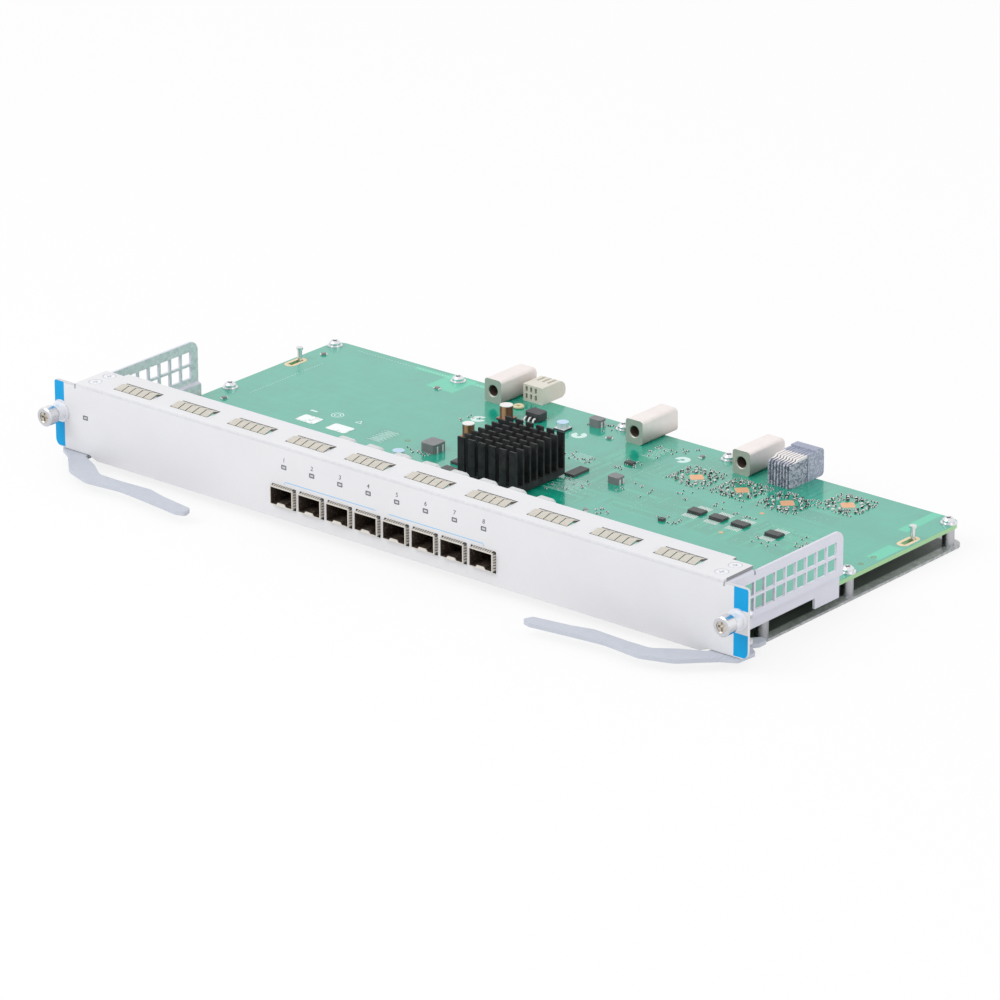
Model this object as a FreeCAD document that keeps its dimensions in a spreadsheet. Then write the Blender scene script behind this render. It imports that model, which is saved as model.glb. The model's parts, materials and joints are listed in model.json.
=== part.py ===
import FreeCAD, Part
import math
import os
import Sketcher

# Line card for a modular chassis: front panel, base plate, circuit board, ports and ejectors.
# Frame: +X along the panel, +Y towards the backplane, +Z up, origin on the base plate's underside,
# in the middle between the ears, at front_setback behind the panel's front face.

doc = FreeCAD.newDocument("line_card")
sheet = doc.addObject("Spreadsheet::Sheet", "Dims")

sizes = [
    # front panel
    ("panel_width", 399, "over both ears"),
    ("panel_height", 35.3, "lower edge of the face to the top of the flange"),
    ("panel_lift", 4.4, "lower edge of the face over the base plate's underside"),
    ("front_setback", 100, "front face to the origin"),
    ("sheet_thick", 1.5, "front panel sheet"),
    ("bend_outside", 1.7, "outside radius of the panel's top bend"),
    ("ear_drop", 1.1, "ear top below the flange top"),
    ("ear_corner", 3.6, "lower corner of the ear"),
    ("ear_corner_top", 1.4, "upper corner of the ear"),
    ("relief_width", 1.0, "slit between ear and flange"),
    ("relief_depth", 1.8, "slit between ear and flange"),
    ("ear_width", 13.3, "ear beyond the top flange"),
    ("flange_half", "=panel_width / 2 - ear_width", "half length of the top flange"),
    ("flange_depth", 23.3, "top flange, front to rear"),
    ("flange_step", 2.8, "the flange's ends are this much shallower"),
    ("flange_step_length", 11.0, "shallower end, along the panel"),
    ("flange_step_half", "=flange_half - flange_step_length", "where the shallower ends start"),
    ("foot_inset", 14.2, "bottom flange's end inside the top flange's"),
    ("foot_half", "=flange_half - foot_inset", "half length of the bottom flange"),
    ("foot_depth", 16, "bottom flange, front to rear"),
    ("notch_rise", 2.0, "lower edge of the ear over the lower edge of the face"),
    ("notch_gap", 2.0, "bottom flange's end to where the lower edge starts to rise"),
    ("notch_run", 5.0, "rising part of the lower edge"),
    ("notch_start", "=foot_half + notch_gap", "where the lower edge starts to rise"),
    ("notch_end", "=notch_start + notch_run", "where the lower edge is level again"),
    ("tab_depth", 18, "corner tab that carries the lever"),
    ("tab_width", 11, "corner tab"),
    # ports
    ("port_count", 8, "ports"),
    ("port_pitch", 16.47, "port to port"),
    ("port_first", -59.86, "centre of the first port"),
    ("cage_width", 13.2, "module cage outside"),
    ("cage_height", 8.7, "module cage outside"),
    ("cage_depth", 47.5, "module cage, front to rear"),
    ("cage_wall", 0.4, "module cage sheet"),
    ("cage_proud", 2.1, "cage mouth in front of the face"),
    ("port_clearance", 0.5, "cage to the panel's cut-out"),
    ("host_width", 11.6, "host connector in the cage"),
    ("host_height", 6.4, "host connector in the cage"),
    ("host_length", 12, "host connector in the cage"),
    ("latch_width", 5.6, "latch tongue at the mouth"),
    ("latch_rise", 1.1, "latch tongue at the mouth"),
    ("latch_length", 6.0, "latch tongue at the mouth"),
    # lamp windows
    ("window_width", 2.8, "lamp window"),
    ("window_height", 2.0, "lamp window"),
    ("window_height_place", 29.5, "lamp window over the underside"),
    ("window_shift", 0.15, "lamp window to the port's centre"),
    ("status_inset", 5.6, "status window to the top flange's end"),
    ("status_place", "=-(flange_half - status_inset)", "status window along the panel"),
    ("status_height", 23.9, "status window over the underside"),
    ("pipe_clearance", 0.15, "light pipe to its window"),
    ("pipe_run", 44.5, "light pipe, face to the rear of its leg"),
    ("pipe_leg", 3.4, "light pipe's leg, front to rear"),
    ("pipe_crown", 0.2, "top of the leg over the run"),
    ("pipe_offset", 0.4, "leg's middle to the window's, along the panel"),
    ("pipe_gap", 0.8, "status pipe's leg over the board"),
    ("pipe_foot", 6.0, "foot of a port's pipe, along the panel"),
    ("pipe_arch", 3.6, "arched fin beside the foot"),
    ("status_run", 9.0, "status pipe, face to the rear of its leg"),
    # gasket
    ("slot_count", 10, "gasket slots"),
    ("slot_margin", 25.8, "flange length beyond the slots' pitches"),
    ("slot_pitch", "=(2 * flange_half - slot_margin) / slot_count", "slot to slot"),
    ("slot_length", 22.6, "gasket slot"),
    ("slot_width", 9.5, "gasket slot"),
    ("slot_setback", 4.8, "gasket slot to the face"),
    ("finger_count", 5, "fingers of a strip"),
    ("finger_gap", 0.5, "slit between fingers"),
    ("finger_rise", 1.1, "finger's ridge over the flange top"),
    ("finger_crest", 5.3, "finger's ridge to the slot's front edge"),
    ("finger_foot", 0.35, "finger's foot to the slot's front and rear edges"),
    ("finger_end", 0.45, "outer fingers to the slot's ends"),
    ("finger_thick", 0.3, "gasket sheet"),
    ("strip_border", 1.6, "strip under the flange round the slot"),
    # screws of the flanges
    ("flush_inset", 6.0, "countersunk screws to the top flange's end"),
    ("flush_place", "=flange_half - flush_inset", "countersunk screws, from the middle"),
    ("flush_front", 6.8, "front countersunk screw to the face"),
    ("flush_pitch", 9.3, "countersunk screws, front to rear"),
    ("flush_hole", 3.2, "countersunk screw's hole"),
    ("flush_head", 5.8, "countersunk screw's head"),
    ("flush_shank", 3.0, "countersunk screw's shank"),
    ("flush_length", 4.4, "countersunk screw"),
    ("flush_sink", 0.05, "top screws below the flange top"),
    ("flush_slot", 0.75, "cross recess's arm"),
    ("flush_slot_reach", 3.0, "cross recess, end to end"),
    ("flush_slot_depth", 0.7, "cross recess"),
    ("foot_screw_inset", 32, "outer base screws to the bottom flange's end"),
    ("foot_screw_place", "=foot_half - foot_screw_inset", "outer base screws, from the middle"),
    ("foot_screw_inner", 48, "inner base screws, from the middle"),
    ("foot_screw_setback", 9, "base screws to the face"),
    # side brackets
    ("side_beyond", 1.4, "bracket's outer face beyond the top flange's end"),
    ("side_outer", "=flange_half + side_beyond", "bracket's outer face, from the middle"),
    ("side_thick", 1.2, "bracket sheet"),
    ("side_front_gap", 0.3, "bracket's front edge behind the panel sheet"),
    ("side_top", 37.5, "bracket's top edge over the underside"),
    ("side_rear", 82.2, "bracket's rear edge to the face"),
    ("side_joggle", 1.8, "lower wall set inwards"),
    ("side_fold", 16.6, "fold line over the underside"),
    ("side_lower", 5.5, "foot's lower edge over the underside"),
    ("side_notch_top", 10.6, "notch over the underside"),
    ("side_notch_rear", 64.9, "notch's rear end to the face"),
    ("side_corner", 5.0, "top rear corner"),
    ("side_tab", 14, "top tab's width"),
    ("side_tab_depth", 19.5, "top tab's rear end to the face"),
    ("grid_columns", 9, "columns of square holes"),
    ("grid_pitch", 7.24, "column to column"),
    ("grid_row_pitch", 7.15, "row to row"),
    ("grid_hole", 6.1, "hole, front to rear"),
    ("grid_hole_height", 6.0, "hole's height"),
    ("grid_first", 13.4, "first hole to the face"),
    ("grid_height", 19.8, "lower row over the underside"),
    # base plate, board and standoffs
    ("plate_gap", 0.4, "base plate to the bracket's lower wall"),
    ("plate_half", "=side_outer - side_joggle - side_thick - plate_gap", "half width of the base plate"),
    ("plate_thick", 1.2, "base plate sheet"),
    ("plate_rear", 177.5, "base plate's rear edge to the face"),
    ("plate_side_front", 34, "side edge's front end to the face"),
    ("plate_front", 23, "flat part's front edge to the face"),
    ("plate_front_inset", 12.2, "flat part's front corner to the side edge"),
    ("plate_front_half", "=plate_half - plate_front_inset", "half length of the flat part's front edge"),
    ("plate_corner", 6, "rear corners"),
    ("plate_tongue_inset", 7, "raised front edge's end to the flat part's front corner"),
    ("plate_tongue_half", "=plate_front_half - plate_tongue_inset", "half length of the raised front edge"),
    ("standoff_height", 8.0, "base plate to board"),
    ("standoff_size", 5.6, "standoff's diameter"),
    ("standoff_spigot", 4.2, "standoff's pressed end"),
    ("standoff_spare", 0.5, "thread below the board screw's end"),
    ("board_inset", 1.0, "board's side edge inside the base plate's"),
    ("board_half", "=plate_half - board_inset", "half width of the board"),
    ("board_thick", 2.1, "circuit board"),
    ("board_front", 3.0, "board's front edge to the face"),
    ("board_rear", 176.8, "board's rear edge to the face"),
    ("board_corner", 6.5, "rear corners"),
    ("post_inset_left", 4.8, "left standoffs to the base plate's edge"),
    ("post_inset_right", 4.4, "right standoffs to the base plate's edge"),
    ("post_front", 36, "front standoffs to the face"),
    ("post_middle", 96.3, "middle standoffs to the face"),
    ("post_rear_inset", 6.3, "rear standoffs to the board's rear edge"),
    ("post_rear", "=board_rear - post_rear_inset", "rear standoffs to the face"),
    ("post_left", -102.7, "rear standoff on the left, from the middle"),
    ("post_centre", -3.5, "rear standoff near the middle"),
    ("post_right", 57.5, "rear standoff on the right"),
    ("screw_hole", 3.3, "board hole"),
    ("screw_shank", 3.0, "board screw"),
    ("screw_length", 6.5, "board screw under its head"),
    ("screw_head", 5.6, "board screw's head"),
    ("screw_head_height", 2.1, "board screw's head"),
    ("screw_rim", 1.25, "upright rim of the board screw's head"),
    ("screw_crown", 3.9, "flat top of the board screw's head"),
    ("screw_recess", 2.8, "cross recess"),
    ("screw_recess_floor", 0.95, "cross recess's floor over the seat"),
    ("screw_slot", 0.7, "cross recess's arm"),
    ("washer_size", 7.4, "washer"),
    ("washer_thick", 0.6, "washer"),
    ("slot_inset", 4.2, "board slot to the board's side edge"),
    ("slot_place", "=board_half - slot_inset", "board slot, from the middle"),
    ("slot_centre", 141.8, "board slot to the face"),
    ("board_slot_length", 8.6, "board slot"),
    ("board_slot_width", 2.6, "board slot"),
    ("ground_pin", 2.3, "grounding pin's diameter"),
    ("ground_pin_height", 6.6, "grounding pin over the board"),
    ("ground_head", 3.3, "grounding pin's head"),
    ("ground_head_height", 1.0, "grounding pin's head"),
    # ejector levers
    ("pivot_inset", 0.7, "lever pivot to the top flange's end"),
    ("pivot_place", "=flange_half - pivot_inset", "lever pivot, from the middle"),
    ("pivot_setback", 9, "lever pivot to the face"),
    ("lever_thick", 1.9, "lever plate"),
    ("lever_gap", 0.3, "lever under the corner tab"),
    ("lever_elbow", 26, "pivot to the arm's root, along the panel"),
    ("lever_stand", 31.4, "pivot to the arm's front edge"),
    ("lever_arm", 8.6, "arm's width"),
    ("lever_kink", 57.5, "pivot to the kink of the arm"),
    ("lever_reach", 88.5, "pivot to the tip"),
    ("lever_kick", 3.4, "tip set forward"),
    ("lever_tip", 6.6, "tip's width"),
    ("lever_root", 13.2, "width of the root"),
    ("claw_reach", 10.4, "pivot to the claw's outer edge"),
    ("claw_rear", 16.4, "pivot to the claw's rear end"),
    ("claw_mouth", 4.4, "claw's hook"),
    ("rivet_size", 5.0, "lever rivet's shank"),
    ("rivet_clearance", 0.05, "lever bore over the rivet, on the radius"),
    ("rivet_head", 8.4, "lever rivet's head"),
    ("rivet_head_thick", 1.1, "lever rivet's head"),
    ("rivet_peen", 7.0, "lever rivet's upset end"),
    ("rivet_peen_thick", 0.6, "lever rivet's upset end"),
    ("rivet_play", 0.15, "lever to the rivet's head"),
    # captive screws
    ("captive_inset_left", 3.8, "left captive screw to the ear's end"),
    ("captive_inset_right", 5.3, "right captive screw to the ear's end"),
    ("captive_place_left", "=panel_width / 2 - captive_inset_left", "left captive screw, from the middle"),
    ("captive_place_right", "=panel_width / 2 - captive_inset_right", "right captive screw"),
    ("captive_height", 23.9, "captive screw over the underside"),
    ("ferrule_flange", 9.8, "ferrule's flange"),
    ("ferrule_flange_thick", 1.0, "ferrule's flange"),
    ("ferrule_neck", 7.4, "ferrule's neck"),
    ("ferrule_neck_length", 5.2, "ferrule's neck in front of the face"),
    ("ferrule_tail", 6.6, "ferrule's tail in the panel"),
    ("ferrule_tail_length", 2.6, "ferrule's tail behind the face's front"),
    ("ferrule_wall", 0.5, "ferrule's neck wall"),
    ("captive_shank", 4.0, "captive screw's shank"),
    ("captive_play", 0.06, "shank in the ferrule, on the radius"),
    ("knob_size", 9.0, "captive screw's knob"),
    ("knob_length", 5.2, "captive screw's knob"),
    ("knob_start", 6.2, "knob's rear edge in front of the face"),
    ("knob_bore", 7.7, "knob's bore over the neck"),
    ("knob_bore_depth", 3.0, "knob's bore over the neck"),
    ("knob_edge", 0.5, "bevel of the knob's front edge"),
    ("knob_recess", 5.4, "recess round the cross slot"),
    ("knob_recess_depth", 0.5, "recess round the cross slot"),
    ("cross_depth", 1.4, "cross slot, from the knob's front"),
    ("cross_reach", 2.05, "cross slot's arm, from the middle"),
    ("cross_half", 0.54, "half width of the cross slot's arm"),
    ("captive_tip", 8.5, "shank's end behind the face"),
    ("captive_bevel", 0.8, "bevel of the shank's end"),
    ("ring_size", 6.4, "retaining ring"),
    ("ring_thick", 0.7, "retaining ring"),
    ("ring_groove", 3.0, "groove of the retaining ring"),
    ("coil_wire", 0.5, "captive screw's spring wire"),
    ("coil_size", 5.3, "captive screw's spring, mean diameter"),
    ("coil_turns", 6, "captive screw's spring"),
    # backplane side
    ("guide_front", 159, "guide block's front face to the panel's face"),
    ("guide_length", 27, "guide block"),
    ("guide_width", 9.8, "guide block"),
    ("guide_height", 11.6, "guide block"),
    ("guide_bore", 5.2, "guide block's bore"),
    ("guide_bore_height", 5.9, "bore over the board"),
    ("guide_nose", 3.2, "rounded rear top"),
    ("guide_first", -71.9, "first guide block, from the middle"),
    ("guide_second", 11.8, "second guide block, from the middle"),
    ("guide_third", 73.3, "third guide block, from the middle"),
    ("power_place", -57.7, "power connector, from the middle"),
    ("power_front", 170.8, "power connector's front to the face"),
    ("power_width", 11.5, "power connector"),
    ("power_length", 17.0, "power connector"),
    ("power_height", 8.3, "power connector"),
    ("signal_place", 95.2, "signal connector, from the middle"),
    ("signal_front", 158.3, "signal connector's front to the face"),
    ("signal_width", 13.4, "signal connector"),
    ("signal_height", 13.6, "signal connector"),
    ("signal_length", 24.4, "signal connector"),
    ("wafer_count", 8, "wafers"),
    ("wafer_thick", 0.95, "wafer"),
    ("wafer_length", 12.5, "wafer, front to the housing"),
    # processor and heat sink
    ("sink_place", -3.6, "heat sink, from the middle"),
    ("sink_setback", 90, "heat sink's centre to the face"),
    ("sink_width", 34, "heat sink along the panel"),
    ("sink_length", 34.4, "heat sink, front to rear"),
    ("sink_base", 3.0, "heat sink's base"),
    ("sink_height", 19.9, "heat sink with its pins"),
    ("pin_columns", 6, "pins along the panel"),
    ("pin_rows", 8, "pins front to rear"),
    ("pin_width", 3.9, "pin along the panel"),
    ("pin_thick", 1.1, "pin, front to rear"),
    ("processor_size", 29, "processor package"),
    ("processor_thick", 1.2, "processor package"),
    # parts on the board
    ("part_bevel", 0.8, "bevel of the upright edges"),
    ("pulse_lift", 0.5, "transformer's core over the board"),
    ("pulse_lead", 1.2, "transformer's lead"),
    ("pulse_lead_out", 1.4, "transformer's lead, front to rear"),
    ("can_foot", 1.0, "capacitor's foot, its height"),
    ("can_foot_rim", 0.25, "capacitor's foot beyond the can"),
    ("flat_thick", 1.2, "flat chip"),
    ("chip_length", 7.6, "small-outline chip"),
    ("chip_width", 4.4, "small-outline chip"),
    ("chip_thick", 1.0, "small-outline chip's body"),
    ("chip_lift", 0.2, "small-outline chip's body over the board"),
    ("chip_leads", 8, "leads along one side"),
    ("chip_pitch", 0.92, "lead to lead"),
    ("lead_width", 0.42, "small-outline chip's lead"),
    ("lead_span", 6.6, "small-outline chip over its leads"),
    ("lead_thick", 0.35, "small-outline chip's lead"),
    ("cap_length", 1.6, "chip capacitor"),
    ("cap_width", 1.0, "chip capacitor"),
    ("cap_thick", 0.8, "chip capacitor"),
    ("ring_inner", 6.6, "inner ring of chip capacitors, radius along the panel"),
    ("ring_outer", 9.6, "outer ring of chip capacitors, radius along the panel"),
    ("ring_inner_count", 10, "chip capacitors in the inner ring"),
    ("ring_outer_count", 16, "chip capacitors in the outer ring"),
]

for row, (alias, value, meaning) in enumerate(sizes, start=1):
    sheet.set("A%d" % row, meaning)
    sheet.set("B%d" % row, "%s" % value)
    sheet.setAlias("B%d" % row, alias)
doc.recompute()


def num(text):
    """Value of an expression on the sheet."""
    result = sheet.evalExpression(text)
    return float(getattr(result, "Value", result))


def dim(name):
    """Expression that reads one cell."""
    return "Dims.%s" % name


# Places that several pieces share, as expressions on the sheet.
face = "(-Dims.front_setback)"
panelTop = "(Dims.panel_lift + Dims.panel_height)"
earTop = "(Dims.panel_lift + Dims.panel_height - Dims.ear_drop)"
earLow = "(Dims.panel_lift + Dims.notch_rise)"
flangeUnder = "(Dims.panel_lift + Dims.panel_height - Dims.sheet_thick)"
boardLow = "(Dims.plate_thick + Dims.standoff_height)"
boardTop = "(Dims.plate_thick + Dims.standoff_height + Dims.board_thick)"
tabTop = "(Dims.panel_lift + Dims.notch_rise + Dims.sheet_thick)"
leverTop = "(Dims.panel_lift + Dims.notch_rise - Dims.lever_gap)"
portLow = "(%s - 2 * Dims.port_clearance)" % boardTop
portTop = "(%s + Dims.cage_height + Dims.port_clearance)" % boardTop

nodes = []
coilSteps = 16


def keep(piece, label):
    """Registers a finished sub-part under its own name."""
    piece.Label = label
    nodes.append(piece)
    return piece


def newBody(label):
    return keep(doc.addObject("PartDesign::Body", label), label)


def originPlane(body, role):
    for item in body.Origin.OriginFeatures:
        if item.Role == role:
            return item
    raise RuntimeError("no plane " + role)


def newSketch(body, name, role, lift="0"):
    """Sketch on one of the body's own origin planes, lifted along the plane's normal."""
    sketch = body.newObject("Sketcher::SketchObject", name)
    sketch.AttachmentSupport = [(originPlane(body, role), "")]
    sketch.MapMode = "FlatFace"
    sketch.setExpression("AttachmentOffset.Base.z", lift)
    return sketch


def outline(sketch, points):
    """Closed outline whose corners are pairs of expressions."""
    spots = [FreeCAD.Vector(num(x), num(y), 0) for x, y in points]
    count = len(spots)
    lines = [Part.LineSegment(spots[k], spots[(k + 1) % count]) for k in range(count)]
    start = sketch.GeometryCount
    sketch.addGeometry(lines, False)
    ties = []
    for k in range(count):
        ties.append(Sketcher.Constraint("Coincident", start + k, 2, start + (k + 1) % count, 1))
    sketch.addConstraint(ties)
    bound = sketch.ConstraintCount
    places = []
    for k, spot in enumerate(spots):
        places.append(Sketcher.Constraint("DistanceX", -1, 1, start + k, 1, spot.x))
        places.append(Sketcher.Constraint("DistanceY", -1, 1, start + k, 1, spot.y))
    sketch.addConstraint(places)
    for k, (x, y) in enumerate(points):
        sketch.setExpression("Constraints[%d]" % (bound + 2 * k), x)
        sketch.setExpression("Constraints[%d]" % (bound + 2 * k + 1), y)


def rectangle(sketch, x, y, width, height):
    """Rectangle by its lower left corner and its size, all expressions."""
    right = "%s + %s" % (x, width)
    upper = "%s + %s" % (y, height)
    outline(sketch, [(x, y), (right, y), (right, upper), (x, upper)])


def circle(sketch, x, y, diameter):
    start = sketch.GeometryCount
    centre = FreeCAD.Vector(num(x), num(y), 0)
    radius = "%s / 2" % diameter
    sketch.addGeometry(Part.Circle(centre, FreeCAD.Vector(0, 0, 1), num(radius)), False)
    bound = sketch.ConstraintCount
    sketch.addConstraint([
        Sketcher.Constraint("DistanceX", -1, 1, start, 3, centre.x),
        Sketcher.Constraint("DistanceY", -1, 1, start, 3, centre.y),
        Sketcher.Constraint("Radius", start, num(radius)),
    ])
    sketch.setExpression("Constraints[%d]" % bound, x)
    sketch.setExpression("Constraints[%d]" % (bound + 1), y)
    sketch.setExpression("Constraints[%d]" % (bound + 2), radius)


def pad(body, name, sketch, length, backwards=False):
    feature = body.newObject("PartDesign::Pad", name)
    feature.Profile = sketch
    feature.setExpression("Length", length)
    feature.Reversed = backwards
    sketch.Visibility = False
    doc.recompute()
    return feature


def pocket(body, name, sketch, length, backwards=False):
    """Cuts a sketch into the body, and checks that the cut takes material away."""
    before = body.Shape.Volume
    feature = body.newObject("PartDesign::Pocket", name)
    feature.Profile = sketch
    feature.setExpression("Length", length)
    feature.Reversed = backwards
    doc.recompute()
    if body.Shape.Volume >= before:
        raise RuntimeError("nothing cut by " + name)
    return feature


def repeat(body, name, feature, sketch, axis, pitch, count):
    pattern = body.newObject("PartDesign::LinearPattern", name)
    pattern.Originals = [feature]
    pattern.Direction = (sketch, [axis])
    pattern.setExpression("Length", "%s * (%s - 1)" % (pitch, count))
    pattern.setExpression("Occurrences", count)
    body.Tip = pattern
    doc.recompute()
    return pattern


def dress(body, kind, name, size, test):
    """Fillet or chamfer on every edge that passes the test."""
    base = body.Tip
    names = ["Edge%d" % (k + 1) for k, edge in enumerate(base.Shape.Edges) if test(edge)]
    if not names:
        raise RuntimeError("no edge for " + name)
    feature = body.newObject("PartDesign::" + kind, name)
    feature.Base = (base, names)
    feature.setExpression("Radius" if kind == "Fillet" else "Size", size)
    doc.recompute()
    if "Invalid" in feature.State:
        raise RuntimeError("not dressed: " + name)
    return feature


def ends(edge):
    return edge.Vertexes[0].Point, edge.Vertexes[-1].Point


def isLine(edge, **fixed):
    """Straight edge on which the named coordinates keep the given values."""
    if edge.Degenerated or edge.Curve.TypeId != "Part::GeomLine":
        return False
    first, last = ends(edge)
    for name, value in fixed.items():
        if abs(getattr(first, name) - value) > 0.02 or abs(getattr(last, name) - value) > 0.02:
            return False
    return True


def isRound(edge, radius, **fixed):
    """Circular edge with the given radius, whose centre keeps the named coordinates."""
    if edge.Degenerated or edge.Curve.TypeId != "Part::GeomCircle":
        return False
    if abs(edge.Curve.Radius - radius) > 0.01:
        return False
    return all(abs(getattr(edge.Curve.Center, name) - value) < 0.02 for name, value in fixed.items())


def box(name, x, y, z, length, width, height):
    """Block by its lowest corner and its size."""
    piece = doc.addObject("Part::Box", name)
    for prop, text in (("Length", length), ("Width", width), ("Height", height)):
        piece.setExpression(prop, text)
    for prop, text in (("x", x), ("y", y), ("z", z)):
        piece.setExpression("Placement.Base." + prop, text)
    return piece


def rod(name, x, y, z, diameter, length, axis="z"):
    """Round bar from its first end along +Z or +Y."""
    piece = doc.addObject("Part::Cylinder", name)
    if axis == "y":
        piece.Placement.Rotation = FreeCAD.Rotation(FreeCAD.Vector(1, 0, 0), -90)
    piece.setExpression("Radius", "%s / 2" % diameter)
    piece.setExpression("Height", length)
    for prop, text in (("x", x), ("y", y), ("z", z)):
        piece.setExpression("Placement.Base." + prop, text)
    return piece


def fuse(name, pieces):
    result = doc.addObject("Part::MultiFuse", name)
    result.Shapes = pieces
    return result


def cut(name, base, tool):
    result = doc.addObject("Part::Cut", name)
    result.Base = base
    result.Tool = tool
    return result


def group(label, shapes):
    """Like pieces kept as separate solids of one sub-part."""
    piece = doc.addObject("Part::Feature", label)
    piece.Shape = Part.makeCompound(shapes)
    piece.Placement = FreeCAD.Placement()
    return keep(piece, label)


def block(x, y, z, length, width, height):
    """Plain block, centred along X and Y, standing on z."""
    corner = FreeCAD.Vector(x - length / 2, y - width / 2, z)
    return Part.makeBox(length, width, height, corner)


def mirrored(points):
    """Adds the left half to the right half of an outline, in order."""
    return points + [("-(%s)" % x, y) for x, y in reversed(points)]


def portCentre(k):
    return "(Dims.port_first + %d * Dims.port_pitch)" % k


def frontPanel():
    """Folded sheet: face with ears, top flange, bottom flange and two corner tabs."""
    body = newBody("front_panel")
    thick = dim("sheet_thick")
    half = "(Dims.panel_width / 2)"
    slit = "(Dims.flange_half + Dims.relief_width)"

    faceSketch = newSketch(body, "FaceOutline", "XZ_Plane", dim("front_setback"))
    outline(faceSketch, mirrored([
        (dim("notch_start"), dim("panel_lift")),
        (dim("notch_end"), earLow),
        (half, earLow),
        (half, earTop),
        (slit, earTop),
        (slit, earTop + " - Dims.relief_depth"),
        (dim("flange_half"), earTop + " - Dims.relief_depth"),
        (dim("flange_half"), panelTop),
    ]))
    pad(body, "Face", faceSketch, thick, True)

    rear = face + " + Dims.flange_depth"
    shortRear = rear + " - Dims.flange_step"
    flangeSketch = newSketch(body, "FlangeOutline", "XY_Plane", flangeUnder)
    outline(flangeSketch, mirrored([
        (dim("flange_half"), face),
        (dim("flange_half"), shortRear),
        (dim("flange_step_half"), shortRear),
        (dim("flange_step_half"), rear),
    ]))
    pad(body, "TopFlange", flangeSketch, thick)

    footSketch = newSketch(body, "FootOutline", "XY_Plane", dim("panel_lift"))
    rectangle(footSketch, "-Dims.foot_half", face, "2 * Dims.foot_half", dim("foot_depth"))
    pad(body, "BottomFlange", footSketch, thick)

    tabSketch = newSketch(body, "TabOutline", "XY_Plane", earLow)
    rectangle(tabSketch, dim("notch_end"), face, dim("tab_width"), dim("tab_depth"))
    rectangle(tabSketch, "-Dims.notch_end - Dims.tab_width", face, dim("tab_width"), dim("tab_depth"))
    pad(body, "CornerTabs", tabSketch, thick)

    front = num(face)
    top = num(panelTop)
    inner = front + num(thick)
    dress(body, "Fillet", "BendOutside", dim("bend_outside"), lambda e: isLine(e, y=front, z=top))
    dress(body, "Fillet", "BendInside", "Dims.bend_outside - Dims.sheet_thick",
          lambda e: isLine(e, y=inner, z=top - num(thick)))
    edge = num(half)

    def earCorner(height):
        return lambda e: any(isLine(e, x=side * edge, z=height) for side in (-1, 1))

    dress(body, "Fillet", "EarLowCorners", dim("ear_corner"), earCorner(num(earLow)))
    dress(body, "Fillet", "EarTopCorners", dim("ear_corner_top"), earCorner(num(earTop)))
    rearTab = front + num(dim("tab_depth"))
    tabLow = num(earLow)
    dress(body, "Fillet", "TabCorners", "Dims.tab_width / 4",
          lambda e: isLine(e, y=rearTab) and abs(e.CenterOfMass.z - tabLow - num(thick) / 2) < 0.01)

    gap = dim("port_clearance")
    portSketch = newSketch(body, "PortOutline", "XZ_Plane", dim("front_setback"))
    rectangle(portSketch, "Dims.port_first - Dims.cage_width / 2 - " + gap, portLow,
              "Dims.cage_width + 2 * " + gap, "%s - %s" % (portTop, portLow))
    port = pocket(body, "Port", portSketch, thick)
    repeat(body, "Ports", port, portSketch, "H_Axis", dim("port_pitch"), dim("port_count"))

    windowSketch = newSketch(body, "WindowOutline", "XZ_Plane", dim("front_setback"))
    rectangle(windowSketch, "Dims.port_first + Dims.window_shift - Dims.window_width / 2",
              "Dims.window_height_place - Dims.window_height / 2",
              dim("window_width"), dim("window_height"))
    window = pocket(body, "Window", windowSketch, thick)
    repeat(body, "Windows", window, windowSketch, "H_Axis", dim("port_pitch"), dim("port_count"))

    holeSketch = newSketch(body, "FaceHoles", "XZ_Plane", dim("front_setback"))
    rectangle(holeSketch, "Dims.status_place - Dims.window_width / 2",
              "Dims.status_height - Dims.window_height / 2", dim("window_width"), dim("window_height"))
    circle(holeSketch, dim("captive_place_right"), dim("captive_height"), dim("ferrule_tail"))
    circle(holeSketch, "-Dims.captive_place_left", dim("captive_height"), dim("ferrule_tail"))
    pocket(body, "FaceHoleCut", holeSketch, thick)

    slotSketch = newSketch(body, "SlotOutline", "XY_Plane", panelTop)
    first = "-(Dims.slot_count - 1) * Dims.slot_pitch / 2 - Dims.slot_length / 2"
    rectangle(slotSketch, first, face + " + Dims.slot_setback", dim("slot_length"), dim("slot_width"))
    slot = pocket(body, "Slot", slotSketch, thick)
    repeat(body, "Slots", slot, slotSketch, "H_Axis", dim("slot_pitch"), dim("slot_count"))

    flushSketch = newSketch(body, "FlushHoles", "XY_Plane", panelTop)
    for x, y in flushSpots():
        circle(flushSketch, x, y, dim("flush_hole"))
    pocket(body, "FlushHoleCut", flushSketch, thick)
    sink = "(Dims.flush_head - Dims.flush_hole) / 2"
    dress(body, "Chamfer", "FlushSinks", sink, lambda e: isRound(e, num(dim("flush_hole")) / 2, z=top))

    baseSketch = newSketch(body, "FootHoles", "XY_Plane", dim("panel_lift"))
    for x, y in footSpots():
        circle(baseSketch, x, y, dim("flush_hole"))
    pocket(body, "FootHoleCut", baseSketch, thick, True)

    rivetSketch = newSketch(body, "RivetHoles", "XY_Plane", tabTop)
    for side in ("", "-"):
        circle(rivetSketch, side + "Dims.pivot_place", face + " + Dims.pivot_setback", dim("rivet_size"))
    pocket(body, "RivetHoleCut", rivetSketch, thick)


def flushSpots():
    """Countersunk screws of the top flange, two at each end."""
    for side in ("-", ""):
        for k in range(2):
            yield side + "Dims.flush_place", face + " + Dims.flush_front + %d * Dims.flush_pitch" % k


def footSpots():
    """Countersunk screws of the bottom flange."""
    for side in ("-", ""):
        for place in ("Dims.foot_screw_place", "Dims.foot_screw_inner"):
            yield side + place, face + " + Dims.foot_screw_setback"


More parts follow.
